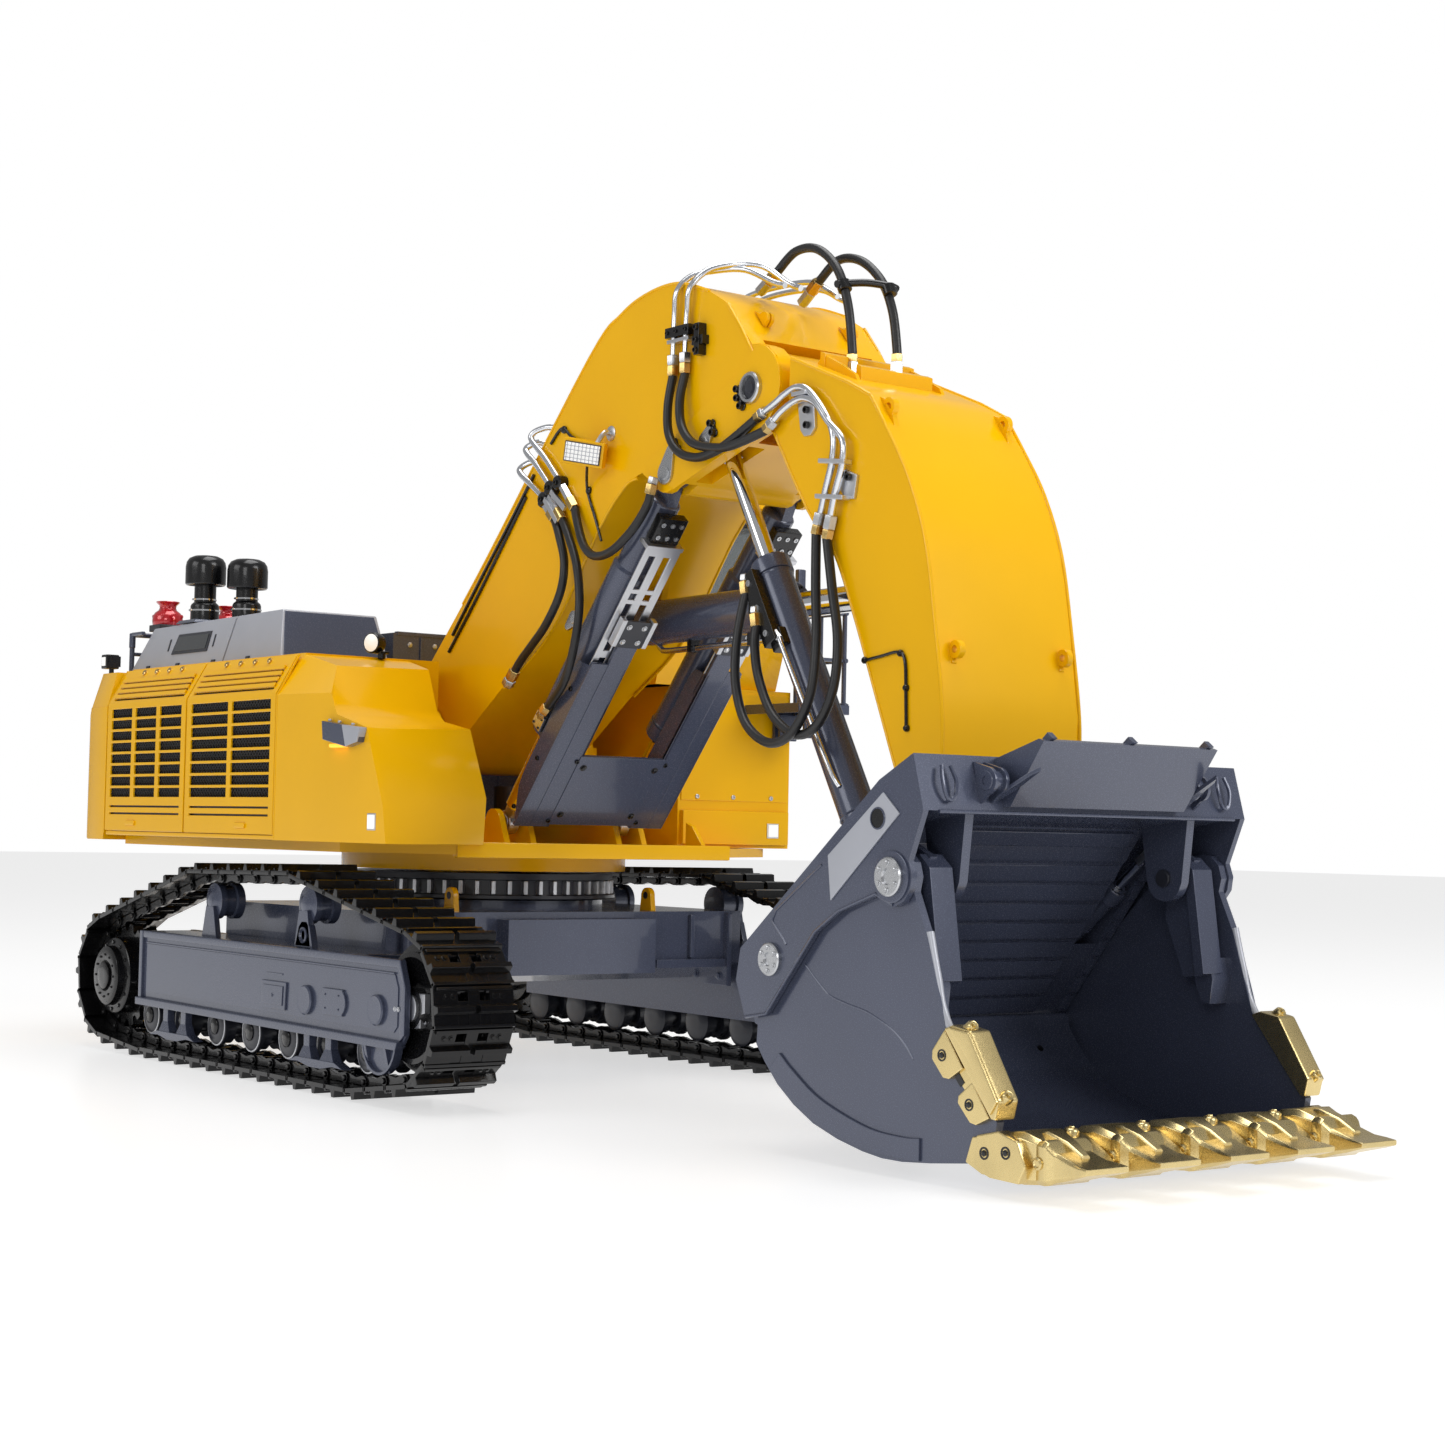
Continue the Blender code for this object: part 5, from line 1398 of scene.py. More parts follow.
def slide_plate(form):
    """Slotted aluminium plate that hangs from the barrel and slides behind the rod guard."""
    form.paint = SATIN
    stations = [38, 44, 66, 69, 73, 76, 108, 113, 134]
    lines = [-11.5, -7.5, -3, 2, 6.5, 11.5]

    def is_open(i, j):
        return i in (1, 3, 5, 7) and j in (1, 3)

    form.pierced(stations, lines, is_open, lambda u, v, d: (u, v, 18.0 - d), 1.1, 0.25)
    form.block((37, 39.5), (-12, 12), (10, 18.5), 0.3)


def guard_form():
    """Folded guard in front of a lift rod, with its bolted bracket and silver slide guides."""
    form = Piece("guard", "lift_rods", SLATE, 0.5)
    face = -21.0
    for y0, y1, top in ((28, 41.5, 162), (41.5, 52, 133)):
        form.block((15, top), (y0, y1), (face, face + 2.2), 0.5)
    cheek = [(15, face), (131, face), (126, face + 12), (118, face + 13.5), (48, face + 13.5),
             (36, face + 12)]
    for y in (50.4, 28):
        form.plate(cheek, y, y + 2.0)
    form.paint = DARK
    form.block((146, 164), (27.4, 45), (face - 1.2, face + 0.4), 0.5)
    form.paint = SATIN
    for y0, y1 in ((44.6, 47.6), (24.6, 27.6)):
        form.block((147, 165), (y0, y1), (face - 2.4, face + 2.4), 0.6)
    form.paint = STEEL
    for x in (150, 160):
        for y in (31, 41):
            form.bolt((x, y, face - 1.2), (0, 0, -1), 1.3, 1.0)
    form.paint = BLACK
    for x in (24, 60, 110):
        form.bolt((x, 52.4, face + 7), (0, 1, 0), 1.4, 1.1, True)
    for x in (20, 64):
        form.bolt((x, 31, face), (0, 0, -1), 1.4, 1.1, True)
    return form


def lift_cylinders():
    """Both lift cylinders, with the guards on their rods and the cross plate between those."""
    turn = lie(LIFT_FOOT, LIFT_HEAD)
    guard = Piece("rod_guards", "lift_rods", SLATE)
    form = guard_form()
    cross = Piece("cross", "lift_rods", SLATE, 0.5)
    cross.block((17, 68), (-30, 30), (-21.5, -19.3))
    cross.block((17, 21), (-28, 28), (-19.5, -13))
    cross.paint = BLACK
    for y in (-25, 25):
        for x in (25, 60):
            cross.bolt((x, y, -21.5), (0, 0, -1), 1.6, 1.2)
    guard.stamp(cross, turn).stamp(form, turn).stamp(form, turn @ MIRROR)
    guard.build("slate_paint", "lift_rod_guard")
    for word, side in SIDES:
        ram(word, side, ("lift_barrel_", "lift_rod_"), ("lift_barrels", "lift_rods"), LIFT_FOOT, LIFT_HEAD,
            LIFT_Y,
            LIFT_SIZES, fit_lift, 62.0)


def fit_crowd(form, _):
    """Pipe beneath the barrel, held by two straps, from the gland back to the port by the pin."""
    form.paint = PIPE
    form.tube([(146, 0, -12), (140, 0, -15), (134, 0, -16.5), (80, 0, -16.5), (36, 0, -16.5), (28, 0, -15),
               (24, 0, -11)], 1.7, 12)
    form.paint = BLACK
    for x in (58, 112):
        form.block(about(x, 2), (-3, 3), (-18.8, -11.6), 0.4)
    port(form, 132.0, 12.0, 0.0, -1.0, 4.4, BLACK)


def crowd_cylinder():
    ram("", 1.0, ("crowd_barrel", "crowd_rod"), ("crowd_barrel", "crowd_rod"), CROWD_HEAD, CROWD_FOOT, 0.0,
        CROWD_SIZES, fit_crowd)


def fit_tilt(form, side):
    """Black valve block along the barrel's outer side near its gland, and a bright pipe down to the pin."""
    form.paint = BLACK
    form.block((128, 170), span(side, 7.6, 15.5), (-1.5, 8.5), 0.8)
    form.block((124, 134), span(side, 6.5, 13), (-4, 6), 0.8)
    form.paint = STEEL
    for x in (134, 149, 164):
        form.spun((x, side * 15.4, 3.5), (0, side, 0), [(1.7, 0), (1.7, 0.9), (0.9, 0.9), (0.8, 0.2)], 14)
    form.paint = PIPE
    form.tube([(130, side * 12, -1), (124, side * 13.4, -2), (90, side * 12.6, -2.6), (52, side * 11.2, -3),
               (42, side * 9, -3)], 1.4, 12)
    nut(form, (133, side * 12, 0), (127.5, side * 12.6, -1.6), 2.4, STEEL)


def tilt_cylinders():
    for word, side in SIDES:
        ram(word, side, ("tilt_barrel_", "tilt_rod_"), ("tilt_barrels", "tilt_rods"), TILT_HEAD, TILT_FOOT,
            TILT_Y,
            TILT_SIZES, fit_tilt, open_end="barrel")


def fit_clam(form, side):
    """A bright pipe along the barrel."""
    form.paint = PIPE
    form.tube([(48, side * 3, 5), (44, side * 3, 6.8), (20, side * 3, 6.8), (15, side * 3, 4.6)], 0.9, 10)


def clam_cylinders():
    for word, side in SIDES:
        ram(word, side, ("clam_barrel_", "clam_rod_"), ("clam_barrels", "clam_rods"), CLAM_HEAD, CLAM_FOOT,
            CLAM_Y,
            CLAM_SIZES, fit_clam)


# ---------------------------------------------------------------- boom

BOOM_SIDE = 46.5
PIPE_Y = -BOOM_SIDE - 3.2
REAR_PIPE_Y = -BOOM_SIDE - 3.0
THIN_PIPE_Y = -BOOM_SIDE - 0.9
NOSE_LINE = [(299.6, 420.6), (311.6, 406.1), (321.6, 391.8), (307.9, 380.3), (283.7, 370.0), (260.0, 357.7),
             (231.0, 344.8)]


def silver_cap(piece, at, top, r, y, side):
    """A pin's silver end plate, drawn out to a narrower lug towards the given point."""
    piece.paint = STEEL
    angle = math.degrees(math.atan2(top[1] - at[1], top[0] - at[0]))
    outline = arc(at, r, angle + 75, angle + 285, 14) + arc(top, r * 0.5, angle - 70, angle + 70, 8)
    piece.plate(outline, y, y + side * 1.8, 0.5)
    piece.spun((at[0], y + side * 1.7, at[1]), (0, side, 0),
               [(r * 0.62, 0), (r * 0.62, 0.5), (r * 0.45, 0.7)], 24)


def keeper(piece, places, side, r=1.9):
    """Black socket screws on a small black keeper plate."""
    piece.paint = BLACK
    low, middle, high = (side * (BOOM_SIDE + d) for d in (1.4, 2.0, 2.6))
    ends = places[0], places[-1]
    for x, z in ends:
        piece.bar((x, low, z), (x, high, z), r * 1.25)
    piece.bar(*flat(ends, middle), 1.5, 10)
    for at in flat(places, high):
        piece.bolt(at, (0, side, 0), r, 2.4, True)


def boom_sides(piece):
    """Thicker side plates at the nose, with the pins' caps and keepers."""
    hub = arc(STICK_PIVOT, 22.6, 76, -64, 16)
    nose = [(256, 327.6)] + arc(LIFT_HEAD, 12.2, -60, -130, 8)
    outline = NOSE_LINE[2:] + nose[::-1] + hub[::-1]
    pivot_x, pivot_z = STICK_PIVOT
    for _, side in SIDES:
        out = (0, side, 0)
        piece.paint = YELLOW
        piece.plate(outline, side * (BOOM_SIDE - 0.2), side * (BOOM_SIDE + 1.4), 0.5)
        piece.tube(flat(NOSE_LINE[:3], side * (BOOM_SIDE + 0.2)), 0.9, 8, smooth=False)
        piece.paint = STEEL
        piece.spun((pivot_x, side * (BOOM_SIDE + 1.2), pivot_z), out,
                   [(8.2, 0), (8.2, 2.2), (7.5, 2.9), (6.2, 2.9), (5.6, 0.6), (0.6, 0.6)], 36)
        piece.paint = DARK
        piece.spun((pivot_x, side * (BOOM_SIDE + 1.9), pivot_z), out,
                   [(5.5, 0), (5.5, 0.3), (3.0, 0.4), (2.6, 1.2), (0.8, 1.3)], 30)
        for at, top, r in (((285.0, 350.0), (290.5, 357.0), 4.8), ((250.6, 337.0), (255.0, 348.5), 6.2)):
            silver_cap(piece, at, top, r, side * (BOOM_SIDE + 1.3), side)
        for places in ([(313.0, 373.5), (313.4, 368.8), (316.2, 364.4)], [(291.0, 358.6), (293.0, 353.6)],
                       [(258.4, 352.6), (261.6, 348.6)]):
            keeper(piece, places, side)


def boom_seams(piece):
    """Weld beads along the box section's top and belly edges."""
    upper = curve([(6, 245), (70, 306), (172, 409.5), (203, 430), (229, 437.8), (256, 438.5),
                   (283, 430)])[4:]
    lower = curve([(222, 337.5), (210, 334), (187, 314), (142, 260), (92, 228)])
    piece.paint = YELLOW
    for _, side in SIDES:
        for route in (upper, lower):
            piece.tube(flat(route, side * (BOOM_SIDE - 0.2)), 0.9, 8, smooth=False)


def cross_bar(piece, at, side, near, far, r):
    """A pin's visible length on one side."""
    piece.bar((at[0], side * near, at[1]), (at[0], side * far, at[1]), r)


def boom_pins(piece):
    """The crowd cylinder's foot pin with its caps, and the lift and tilt cylinders' head pins."""
    for _, side in SIDES:
        piece.paint = DARK
        piece.spun((CROWD_FOOT[0], side * 13, CROWD_FOOT[1]), (0, side, 0),
                   [(5.6, 0), (5.6, 1.4), (5.0, 1.9), (3.9, 1.9), (3.6, 0.9), (0.5, 0.9)], 28)
        silver_cap(piece, (164.8, 264.4), (159.0, 260.5), 4.6, side * BOOM_SIDE, side)
    piece.paint = STEEL
    cross_bar(piece, CROWD_FOOT, 1, -13.2, 13.2, 2.8)
    for _, side in SIDES:
        cross_bar(piece, LIFT_HEAD, side, 34, 46, 3.2)
        cross_bar(piece, TILT_HEAD, side, 27, 46, 2.8)


NOSE_PIPES = (
    ([(316, -22, 431), (308, -23, 433.6), (287, -26, 443.6), (270, -34, 444.6), (262, -43, 441.5),
      (259.2, PIPE_Y, 433), (257.6, PIPE_Y, 421), (257.2, PIPE_Y, 410), (256.9, PIPE_Y, 398)], 1.7),
    ([(318, -13, 430.5), (309, -14, 434.5), (293, -19, 445.6), (281, -29, 447), (273.6, -41, 443),
      (270.8, PIPE_Y, 433), (268.8, PIPE_Y, 421), (268.0, PIPE_Y, 410), (267.7, PIPE_Y, 398)], 1.7),
    ([(318, 12, 430), (311, 12, 434), (293, 14, 442), (262, 16, 445), (236, 16, 444), (206, 16, 437)], 1.6),
    ([(318, 19, 428), (311, 19, 431), (293, 21, 439), (262, 23, 443), (236, 23, 442), (206, 23, 435)], 1.6))


def nose_pipes(piece):
    """Four bright pipes over the nose, two of them down the right side to their hose ends."""
    piece.paint = PIPE
    for route, r in NOSE_PIPES:
        piece.tube(route, r, 12)
    piece.paint = BLACK
    for x, proud, z in (((252.6, 273.4), 6.2, (408, 413.6)), ((274.5, 284.0), 4.6, (401.5, 406.5)),
                        ((277.0, 281.6), 5.2, (396.0, 413.0))):
        piece.block(x, (-BOOM_SIDE - proud, -BOOM_SIDE + 0.4), z, 0.6)
    for z in (398.5, 404, 410.5):
        piece.bolt((279.3, -BOOM_SIDE - 5.2, z), (0, -1, 0), 1.6, 1.4, True)
    for x in (255.0, 262.6, 271.0):
        piece.bolt((x, -BOOM_SIDE - 6.2, 410.8), (0, -1, 0), 1.1, 1.0, True)
    piece.paint = SATIN
    piece.block((253.6, 272.6), (-BOOM_SIDE - 5.4, -BOOM_SIDE - 1.0), (405.2, 407.2), 0.3)
    for x in (256.9, 267.7):
        fitting(piece, [(x, PIPE_Y, z) for z in (399, 393.6, 388)], (3.4, STEEL), (3.2, BRASS))


REAR_PIPES = (
    [(134.2, -40, 376.2), (127, -44, 377.0), (120.6, -48.6, 374.2)]
    + flat([(120.2, 369.6), (134.9, 357.7), (147.8, 345.6), (153.6, 339.6)], REAR_PIPE_Y),
    [(124.0, -40, 367.6), (118.2, -44, 369.4), (113.8, -48.6, 366.4)]
    + flat([(115.6, 362.6), (126.7, 354.0), (141.2, 340.6)], REAR_PIPE_Y),
    [(114.6, -40, 358.4), (110.6, -44, 358.6), (107.4, -48.6, 355.0)]
    + flat([(109.6, 351.2), (121.5, 343.5), (134.6, 334.8)], REAR_PIPE_Y))
PORT_ENDS = (((153.6, 339.6), (160.8, 331.8)), ((141.2, 335.6), (148.6, 327.0)),
             ((134.6, 332.6), (141.0, 326.4)))
HOSE_STARTS = flat([mixed(a, b, 1.75) for a, b in PORT_ENDS], REAR_PIPE_Y)


def rear_pipes(piece):
    """Three pipes that come over the boom's back edge, held in a row of black clamps with silver fittings."""
    piece.paint = PIPE
    for route in REAR_PIPES:
        piece.tube(route, 1.8, 12)
    piece.paint = BLACK
    for x, z in ((150.5, 342.0), (142.0, 340.0), (135.5, 334.0)):
        piece.spun((x, -BOOM_SIDE + 0.4, z), (0, -1, 0), [(4.2, 0), (4.2, 5.6), (3.4, 6.4)], 20)
        piece.bolt((x, -BOOM_SIDE - 5.8, z), (0, -1, 0), 1.5, 1.2, True)
    piece.tube(flat([(132, 331), (142, 340), (154, 343)], REAR_PIPE_Y), 2.6, 10)
    for route in ([(120, 350), (96, 325), (60, 289), (34, 262)],
                  [(112, 338), (90, 314), (58, 280), (30, 252)]):
        piece.tube(flat(route, THIN_PIPE_Y), 1.0, 8)
    piece.paint = SATIN
    for strap in ([(146, 338.6), (160.5, 327.4), (158.6, 325.0), (144, 336.2)],
                  [(139.6, 335.0), (153.0, 320.6), (151.0, 318.4), (137.6, 332.6)]):
        piece.plate(strap, -BOOM_SIDE - 4.4, -BOOM_SIDE - 6.2, 0.3)
    for ends, last in zip(PORT_ENDS, HOSE_STARTS):
        fitting(piece, flat(ends, REAR_PIPE_Y) + [last], (2.6, PIPE), (3.3, BRASS))


def work_light(boom):
    """Yellow lamp with a gridded lens on a silver arm, and its thin black cable."""
    lamp = Piece("lamp", "boom", YELLOW, 0.7)
    lamp.block((-12, 12), (0.0, 7.0), (-7, 7))
    lamp.block((-9, 9), (6.4, 12.0), (-5, 5))
    lamp.paint = DARK
    lamp.block((-10.4, 10.4), (-0.7, 0.5), (-5.6, 5.6), 0.3)
    lamp.paint = LIT
    lamp.block((-9.8, 9.8), (-1.0, 0.2), (-5.0, 5.0), 0.2)
    lamp.paint = SATIN
    for i in range(9):
        lamp.block((-9.1 + i * 2.2, -8.6 + i * 2.2), (-1.35, -0.8), (-5.0, 5.0), 0.0)
    for i in range(4):
        lamp.block((-9.8, 9.8), (-1.35, -0.8), (-3.6 + i * 2.2, -3.1 + i * 2.2), 0.0)
    turn = Matrix.Translation((191.0, -62.0, 353.0))
    for angle, axis in ((38, "Z"), (12, "X"), (10, "Y")):
        turn = turn @ Matrix.Rotation(math.radians(angle), 4, axis)
    boom.stamp(lamp, turn)
    boom.paint = SATIN
    boom.tube([(196, -46.4, 365), (197, -51, 365), (197, -54, 362), (196, -56, 358)], 1.5, 8)
    boom.spun((196, -46.2, 365), (0, -1, 0), [(4.2, 0), (4.2, 0.8), (2.4, 1.6)], 20)
    boom.paint = BLACK
    boom.tube([(184, -56, 357), (172, -50, 362), (158, -48, 368)] + flat([(148, 373.5), (137, 366)],
                                                                         THIN_PIPE_Y), 0.9, 8)
    boom.tube([(184, -54, 348), (176, -48, 335.5)] + flat([(183.6, 319), (190, 306)], THIN_PIPE_Y), 0.8, 8)
    for x, z in ((150, 372.6), (176, 335.5)):
        boom.spun((x, -46.2, z), (0, -1, 0), [(2.2, 0), (2.2, 1.6), (1.2, 2.2)], 12)


def boom_top(piece):
    """Cable bundle on the boom's back in its clamps, and small lugs on its nose."""
    piece.paint = BLACK
    back = [(233.4, 441.4), (202.4, 433.6), (177.4, 417.2), (157.4, 397.6), (119.4, 358.6), (79.4, 318.2)]
    for y, r in ((-22, 1.7), (-26, 1.5), (-30, 1.3)):
        piece.tube(flat(back, y), r, 8)
    for x, z in ((214, 437.6), (188, 425), (150, 388.6), (108, 345.6)):
        piece.bar((x, -33, z), (x, -19, z), 2.4, 10)
    piece.paint = YELLOW
    lug = [(302, 418.6), (310, 409)] + arc((309.5, 413.5), 3.6, -30, 130, 6)
    for y in (-30, -27, 27, 30):
        piece.plate(lug, *about(y, 1), 0.3)


def boom_details():
    piece = Piece("boom_fittings", "boom", YELLOW)
    for part in (boom_sides, boom_seams, boom_pins, nose_pipes, rear_pipes, work_light, boom_top):
        part(piece)
    piece.build("yellow_paint")


lift_cylinders()
crowd_cylinder()
tilt_cylinders()
clam_cylinders()
boom_details()




# ---------------------------------------------------------------- stick

STICK_SIDE = 45.0
STICK_PIPE_Y = -STICK_SIDE - 4.0
STICK_PIPES = (
    [(335.5, 359.2), (343.6, 362.4), (352.3, 366.2), (361, 368.2), (370.4, 365.0), (382.5, 353.1),
     (389.4, 341.4),
     (389.4, 329.4), (385.0, 315.6), (381.2, 303.5)],
    [(343.8, 353.9), (350.2, 357.7), (359.9, 361.2), (368, 361.6), (377, 357.7), (386, 348), (397.2, 337.6),
     (397.4, 325.9), (392.6, 312.8), (389.4, 301.6)])


def stick_pipes(piece):
    """Two bright pipes round the right side, on their brackets, with a hose fitting at each end."""
    for lift, route in zip((0.0, -0.4), STICK_PIPES):
        piece.paint = PIPE
        piece.tube(flat(route, STICK_PIPE_Y + lift), 1.9, 12)
        back = [route[0]] + [along(route[1], route[0], d) for d in (12.0, 16.0)]
        down = [route[-1]] + [along(route[-2], route[-1], d) for d in (18.6, 23.5)]
        fitting(piece, flat(back, STICK_PIPE_Y), (3.3, STEEL), (3.1, BRASS))
        fitting(piece, flat(down, STICK_PIPE_Y), (3.4, STEEL), (3.2, BRASS))
    piece.paint = SATIN
    for bracket in ([(358, 365), (371, 364), (372.5, 347), (369, 343.5), (364, 343.5), (361, 347)],
                    [(390.7, 326), (405, 320), (403, 308.6), (397, 309), (390.7, 316)]):
        piece.plate(bracket, -STICK_SIDE - 1.8, -STICK_SIDE + 0.2, 0.5)
    for (x, z), (u, w) in (((381, 330.2), (401, 327.6)), ((379, 313.0), (400, 310.4))):
        strap = [(x, z), (u, w), (u, w - 2.4), (x, z - 2.4)]
        piece.plate(strap, -STICK_SIDE - 1.4, -STICK_SIDE - 6.6, 0.5)
    piece.block((359, 370), (-STICK_SIDE - 6.4, -STICK_SIDE - 1.0), (363.4, 365.6), 0.4)
    piece.paint = BLACK
    for at in flat([(366.4, 356.4), (366.8, 348.8), (399.6, 319.4), (395.6, 321.0)], -STICK_SIDE - 1.8):
        piece.bolt(at, (0, -1, 0), 1.9, 1.9, True)


def side_collars(piece, at, inner, outer, near, far, edge=0.3):
    """A bored ring on both sides, about a point of the side view."""
    for _, side in SIDES:
        piece.collar((at[0], 0, at[1]), (0, 1, 0), inner, outer, *span(side, near, far), edge)


def stick_lugs(piece):
    """Gussets and pierced lugs along the stick's front edges, and weld beads on its seams."""
    piece.paint = YELLOW
    front = curve([(412, 358), (424, 341), (440, 316), (452.5, 285), (460, 246), (466, 205), (466, 178)])
    rear = curve([(438, 172), (434, 180), (419, 215), (403, 252), (387, 284), (366, 307), (338, 349)])
    top = [(351, 384.6), (394, 367), (412, 358)]
    for _, side in SIDES:
        for route in (front, rear, top):
            piece.tube(flat(route, side * (STICK_SIDE - 0.2)), 0.9, 8, smooth=False)
    side_collars(piece, (418.4, 352.2), 2.2, 4.8, 36, 39.4)
    piece.plates([(400, 363.0), (423.5, 341.0), (421.5, 348.4), (415.4, 356.6)], 36.2, 39.2, 0.4)
    piece.plates([(352, 383.6), (384, 370.6), (382, 374.5), (371, 381), (357, 388.0)], 27, 29.4, 0.4)
    for x, z, half in ((357, 384.6, 30), (378, 376.0, 24)):
        rail = [(x + dx, z + dz) for dx, dz in ((-2, -3), (2, -4.4), (2.4, 3.4), (-1.6, 5))]
        piece.plate(rail, -half, half, 0.5)


def stick_side_line(piece):
    """A thin black lubrication pipe on the right side, and two pierced lugs low on the front."""
    piece.paint = BLACK
    piece.tube(flat([(410.5, 229.9), (424, 231.6), (436.4, 233.0), (441.0, 228.4), (442.0, 212),
                     (442.6, 196.1)],
                    -STICK_SIDE - 0.9), 0.8, 8)
    for at in flat([(412, 230.2), (437.4, 232.4), (441.8, 216), (442.6, 197)], -STICK_SIDE + 0.2):
        piece.spun(at, (0, -1, 0), [(1.7, 0), (1.7, 1.5), (1.1, 2.2)], 12)
    piece.paint = YELLOW
    side_collars(piece, (465.0, 233.6), 1.8, 4.4, 33.4, 37.0, 0.4)
    piece.plates([(459.5, 224.6), (463.6, 227.4), (463.0, 230.6), (461.0, 238.6), (457.5, 243.0)], 33.6,
                 36.8, 0.4)


def stick_details():
    piece = Piece("stick_fittings", "stick", YELLOW)
    stick_pipes(piece)
    stick_lugs(piece)
    stick_side_line(piece)
    piece.paint = DARK
    side_collars(piece, BUCKET_PIVOT, 6.6, 11.4, 24.6, 25.4)
    piece.build("yellow_paint")


# ---------------------------------------------------------------- bucket

BAND_SIDE = 103.5
BAND_HOLE = (490.6, 154.2)
RIB_TOP, RIB_LOW = (484.0, 152.0), (407.0, 55.0)
RIB_COUNT = 9
RIB_PITCH = 12.2
RIB_WIDTH, RIB_HEIGHT = 9.4, 1.9


def on_wall(*places):
    """Side-view points by their distance down the inner back wall and their height off it."""
    return [along(RIB_TOP, RIB_LOW, d, h) for d, h in places]


def inner_wall(piece):
    """Wear bars across the inner back wall, their lower sides undercut, with gaps for the clam's levers."""
    piece.paint = SLATE
    w, h = RIB_WIDTH, RIB_HEIGHT
    for i in range(RIB_COUNT):
        d = 10.0 + i * RIB_PITCH
        outline = on_wall((d, -0.4), (d, h * 0.35), (d + w * 0.8, h), (d + w, h * 0.8), (d + w, -0.4))
        for y0, y1 in ((-93, -88), (-70, 70), (88, 93)):
            piece.plate(outline, y0, y1, 0.3)
    piece.plate(on_wall((1, -0.4), (1, 2.4), (9, 2.8), (10, 1.6), (10, -0.4)), -64, 64, 0.5)


def round_cap(piece, at, radius, side, y):
    """A bright pin cap with its ring of bolts."""
    piece.paint = STEEL
    piece.spun((at[0], side * y, at[1]), (0, side, 0), [
        (radius, 0), (radius, 1.6), (radius - 0.6, 2.2), (radius * 0.42, 2.2), (radius * 0.36, 1.2),
                                                        (0.8, 1.2)], 32)
    for place in flat(round_places(at, radius * 0.7, 6), side * (y + 2.2)):
        piece.bolt(place, (0, side, 0), radius * 0.13, 0.9)


def side_bands(piece):
    """Both sides of the bucket's back: silver band, a black disc in its hole that paints the hole's shade,
    pin caps and raised edges.
    """
    edge = [(500.6, 117.0), (489.0, 121.4), (464, 113), (448, 103), (414, 64), (399, 61.4)]
    step = [(452, 133), (420, 111.4), (417.6, 106.6), (428, 96.4)]
    x, z = BAND_HOLE
    piece.paint = GREY
    piece.plates([(493.6, 165.6), (504.4, 156.4), (459.4, 117.4), (457.0, 137.4)], BAND_SIDE,
                 BAND_SIDE + 0.9, 0.3)
    piece.paint = SLATE
    side_collars(piece, BAND_HOLE, 4.3, 5.0, BAND_SIDE + 0.4, BAND_SIDE + 1.3, 0.2)
    for _, side in SIDES:
        out = (0, side, 0)
        # painted shade: a thin black disc fills the band's hole and stands for the dark inside it
        piece.paint = BLACK
        piece.spun((x, side * (BAND_SIDE + 0.8), z), out, [(4.4, 0), (4.4, 0.25), (3.9, 0.25)], 28)
        piece.paint = SLATE
        piece.spun((CLAM_PIVOT[0], side * BAND_SIDE, CLAM_PIVOT[1]), out,
                   [(11.4, -0.2), (11.4, 0.8), (10.8, 1.2)], 32)
        piece.tube(flat(edge, side * BAND_SIDE), 0.8, 8, smooth=False)
        piece.tube(flat(step, side * BAND_SIDE), 0.6, 8, smooth=False)
        round_cap(piece, CLAM_PIVOT, 8.6, side, BAND_SIDE + 1.0)
        round_cap(piece, CLAM_FOOT, 7.6, side, BAND_SIDE)


def top_beam(piece):
    """Spill plate tabs, lifting eyes and plain loops along the bucket's top beam."""
    piece.paint = SLATE
    for y in (-52, -1.5, 49):
        piece.plate([(539.6, 188.4), (544.6, 190.2), (541.0, 193.0), (537.0, 189.6)], y, y + 3, 0.3)
    piece.tube([(519.6, -95, 157.6), (519.6, 95, 157.6)], 0.9, 8, smooth=False)
    eye_plate = [(513, 180), (517.5, 161)] + arc((521.5, 171.5), 6.2, -80, 85, 10)
    for y in (61, 67.5):
        piece.plates(eye_plate, y, y + 2.0, 0.4)
    side_collars(piece, (521.5, 171.5), 2.0, 4.4, 60.4, 70.0)
    loop = [(516.4, 86, 177.5), (518.8, 84.6, 171), (519.8, 86, 164.5), (519.8, 88.6, 162.6),
            (519.8, 91, 164.5),
            (518.8, 92.4, 171), (516.4, 91, 177.5)]
    wing = [(516, 60), (523, 56.5), (542, 56.5), (539, 59.0), (519, 63.0)]
    for _, side in SIDES:
        piece.tube([(x, side * y, z) for x, y, z in loop], 0.9, 8)
        piece.add([[(x, side * y, z + (x - 516) * 0.55) for x, y in wing] for z in (161.5, 163.5)], 0.3)


def lug_joints(piece):
    """Pins and plates where the tilt cylinders, the side cylinders and the clam meet the bucket."""
    for _, side in SIDES:
        piece.paint = STEEL
        piece.spun((TILT_FOOT[0], side * 47.4, TILT_FOOT[1]), (0, side, 0),
                   [(5.2, 0), (5.2, 1.6), (4.4, 2.2)], 24)
        cross_bar(piece, CLAM_FOOT, side, 74, 85, 2.0)
        piece.paint = DARK
        piece.spun((CLAM_PIVOT[0], side * 68.8, CLAM_PIVOT[1]), (0, -side, 0),
                   [(4.2, 0), (4.2, 1.2), (3.4, 1.8)], 24)
        cross_bar(piece, CLAM_PIVOT, side, 69, 81.6, 3.4)
    piece.paint = SLATE
    for near, far in ((73.4, 76.4), (82.6, 85.6)):
        piece.plates(arc(CLAM_FOOT, 6.4, 30, 250, 10) + [(412, 78), (426, 90)], near, far, 0.4)


def bucket_details():
    piece = Piece("bucket_back_fittings", "bucket", SLATE)
    inner_wall(piece)
    side_bands(piece)
    top_beam(piece)
    lug_joints(piece)
    piece.build("slate_paint")


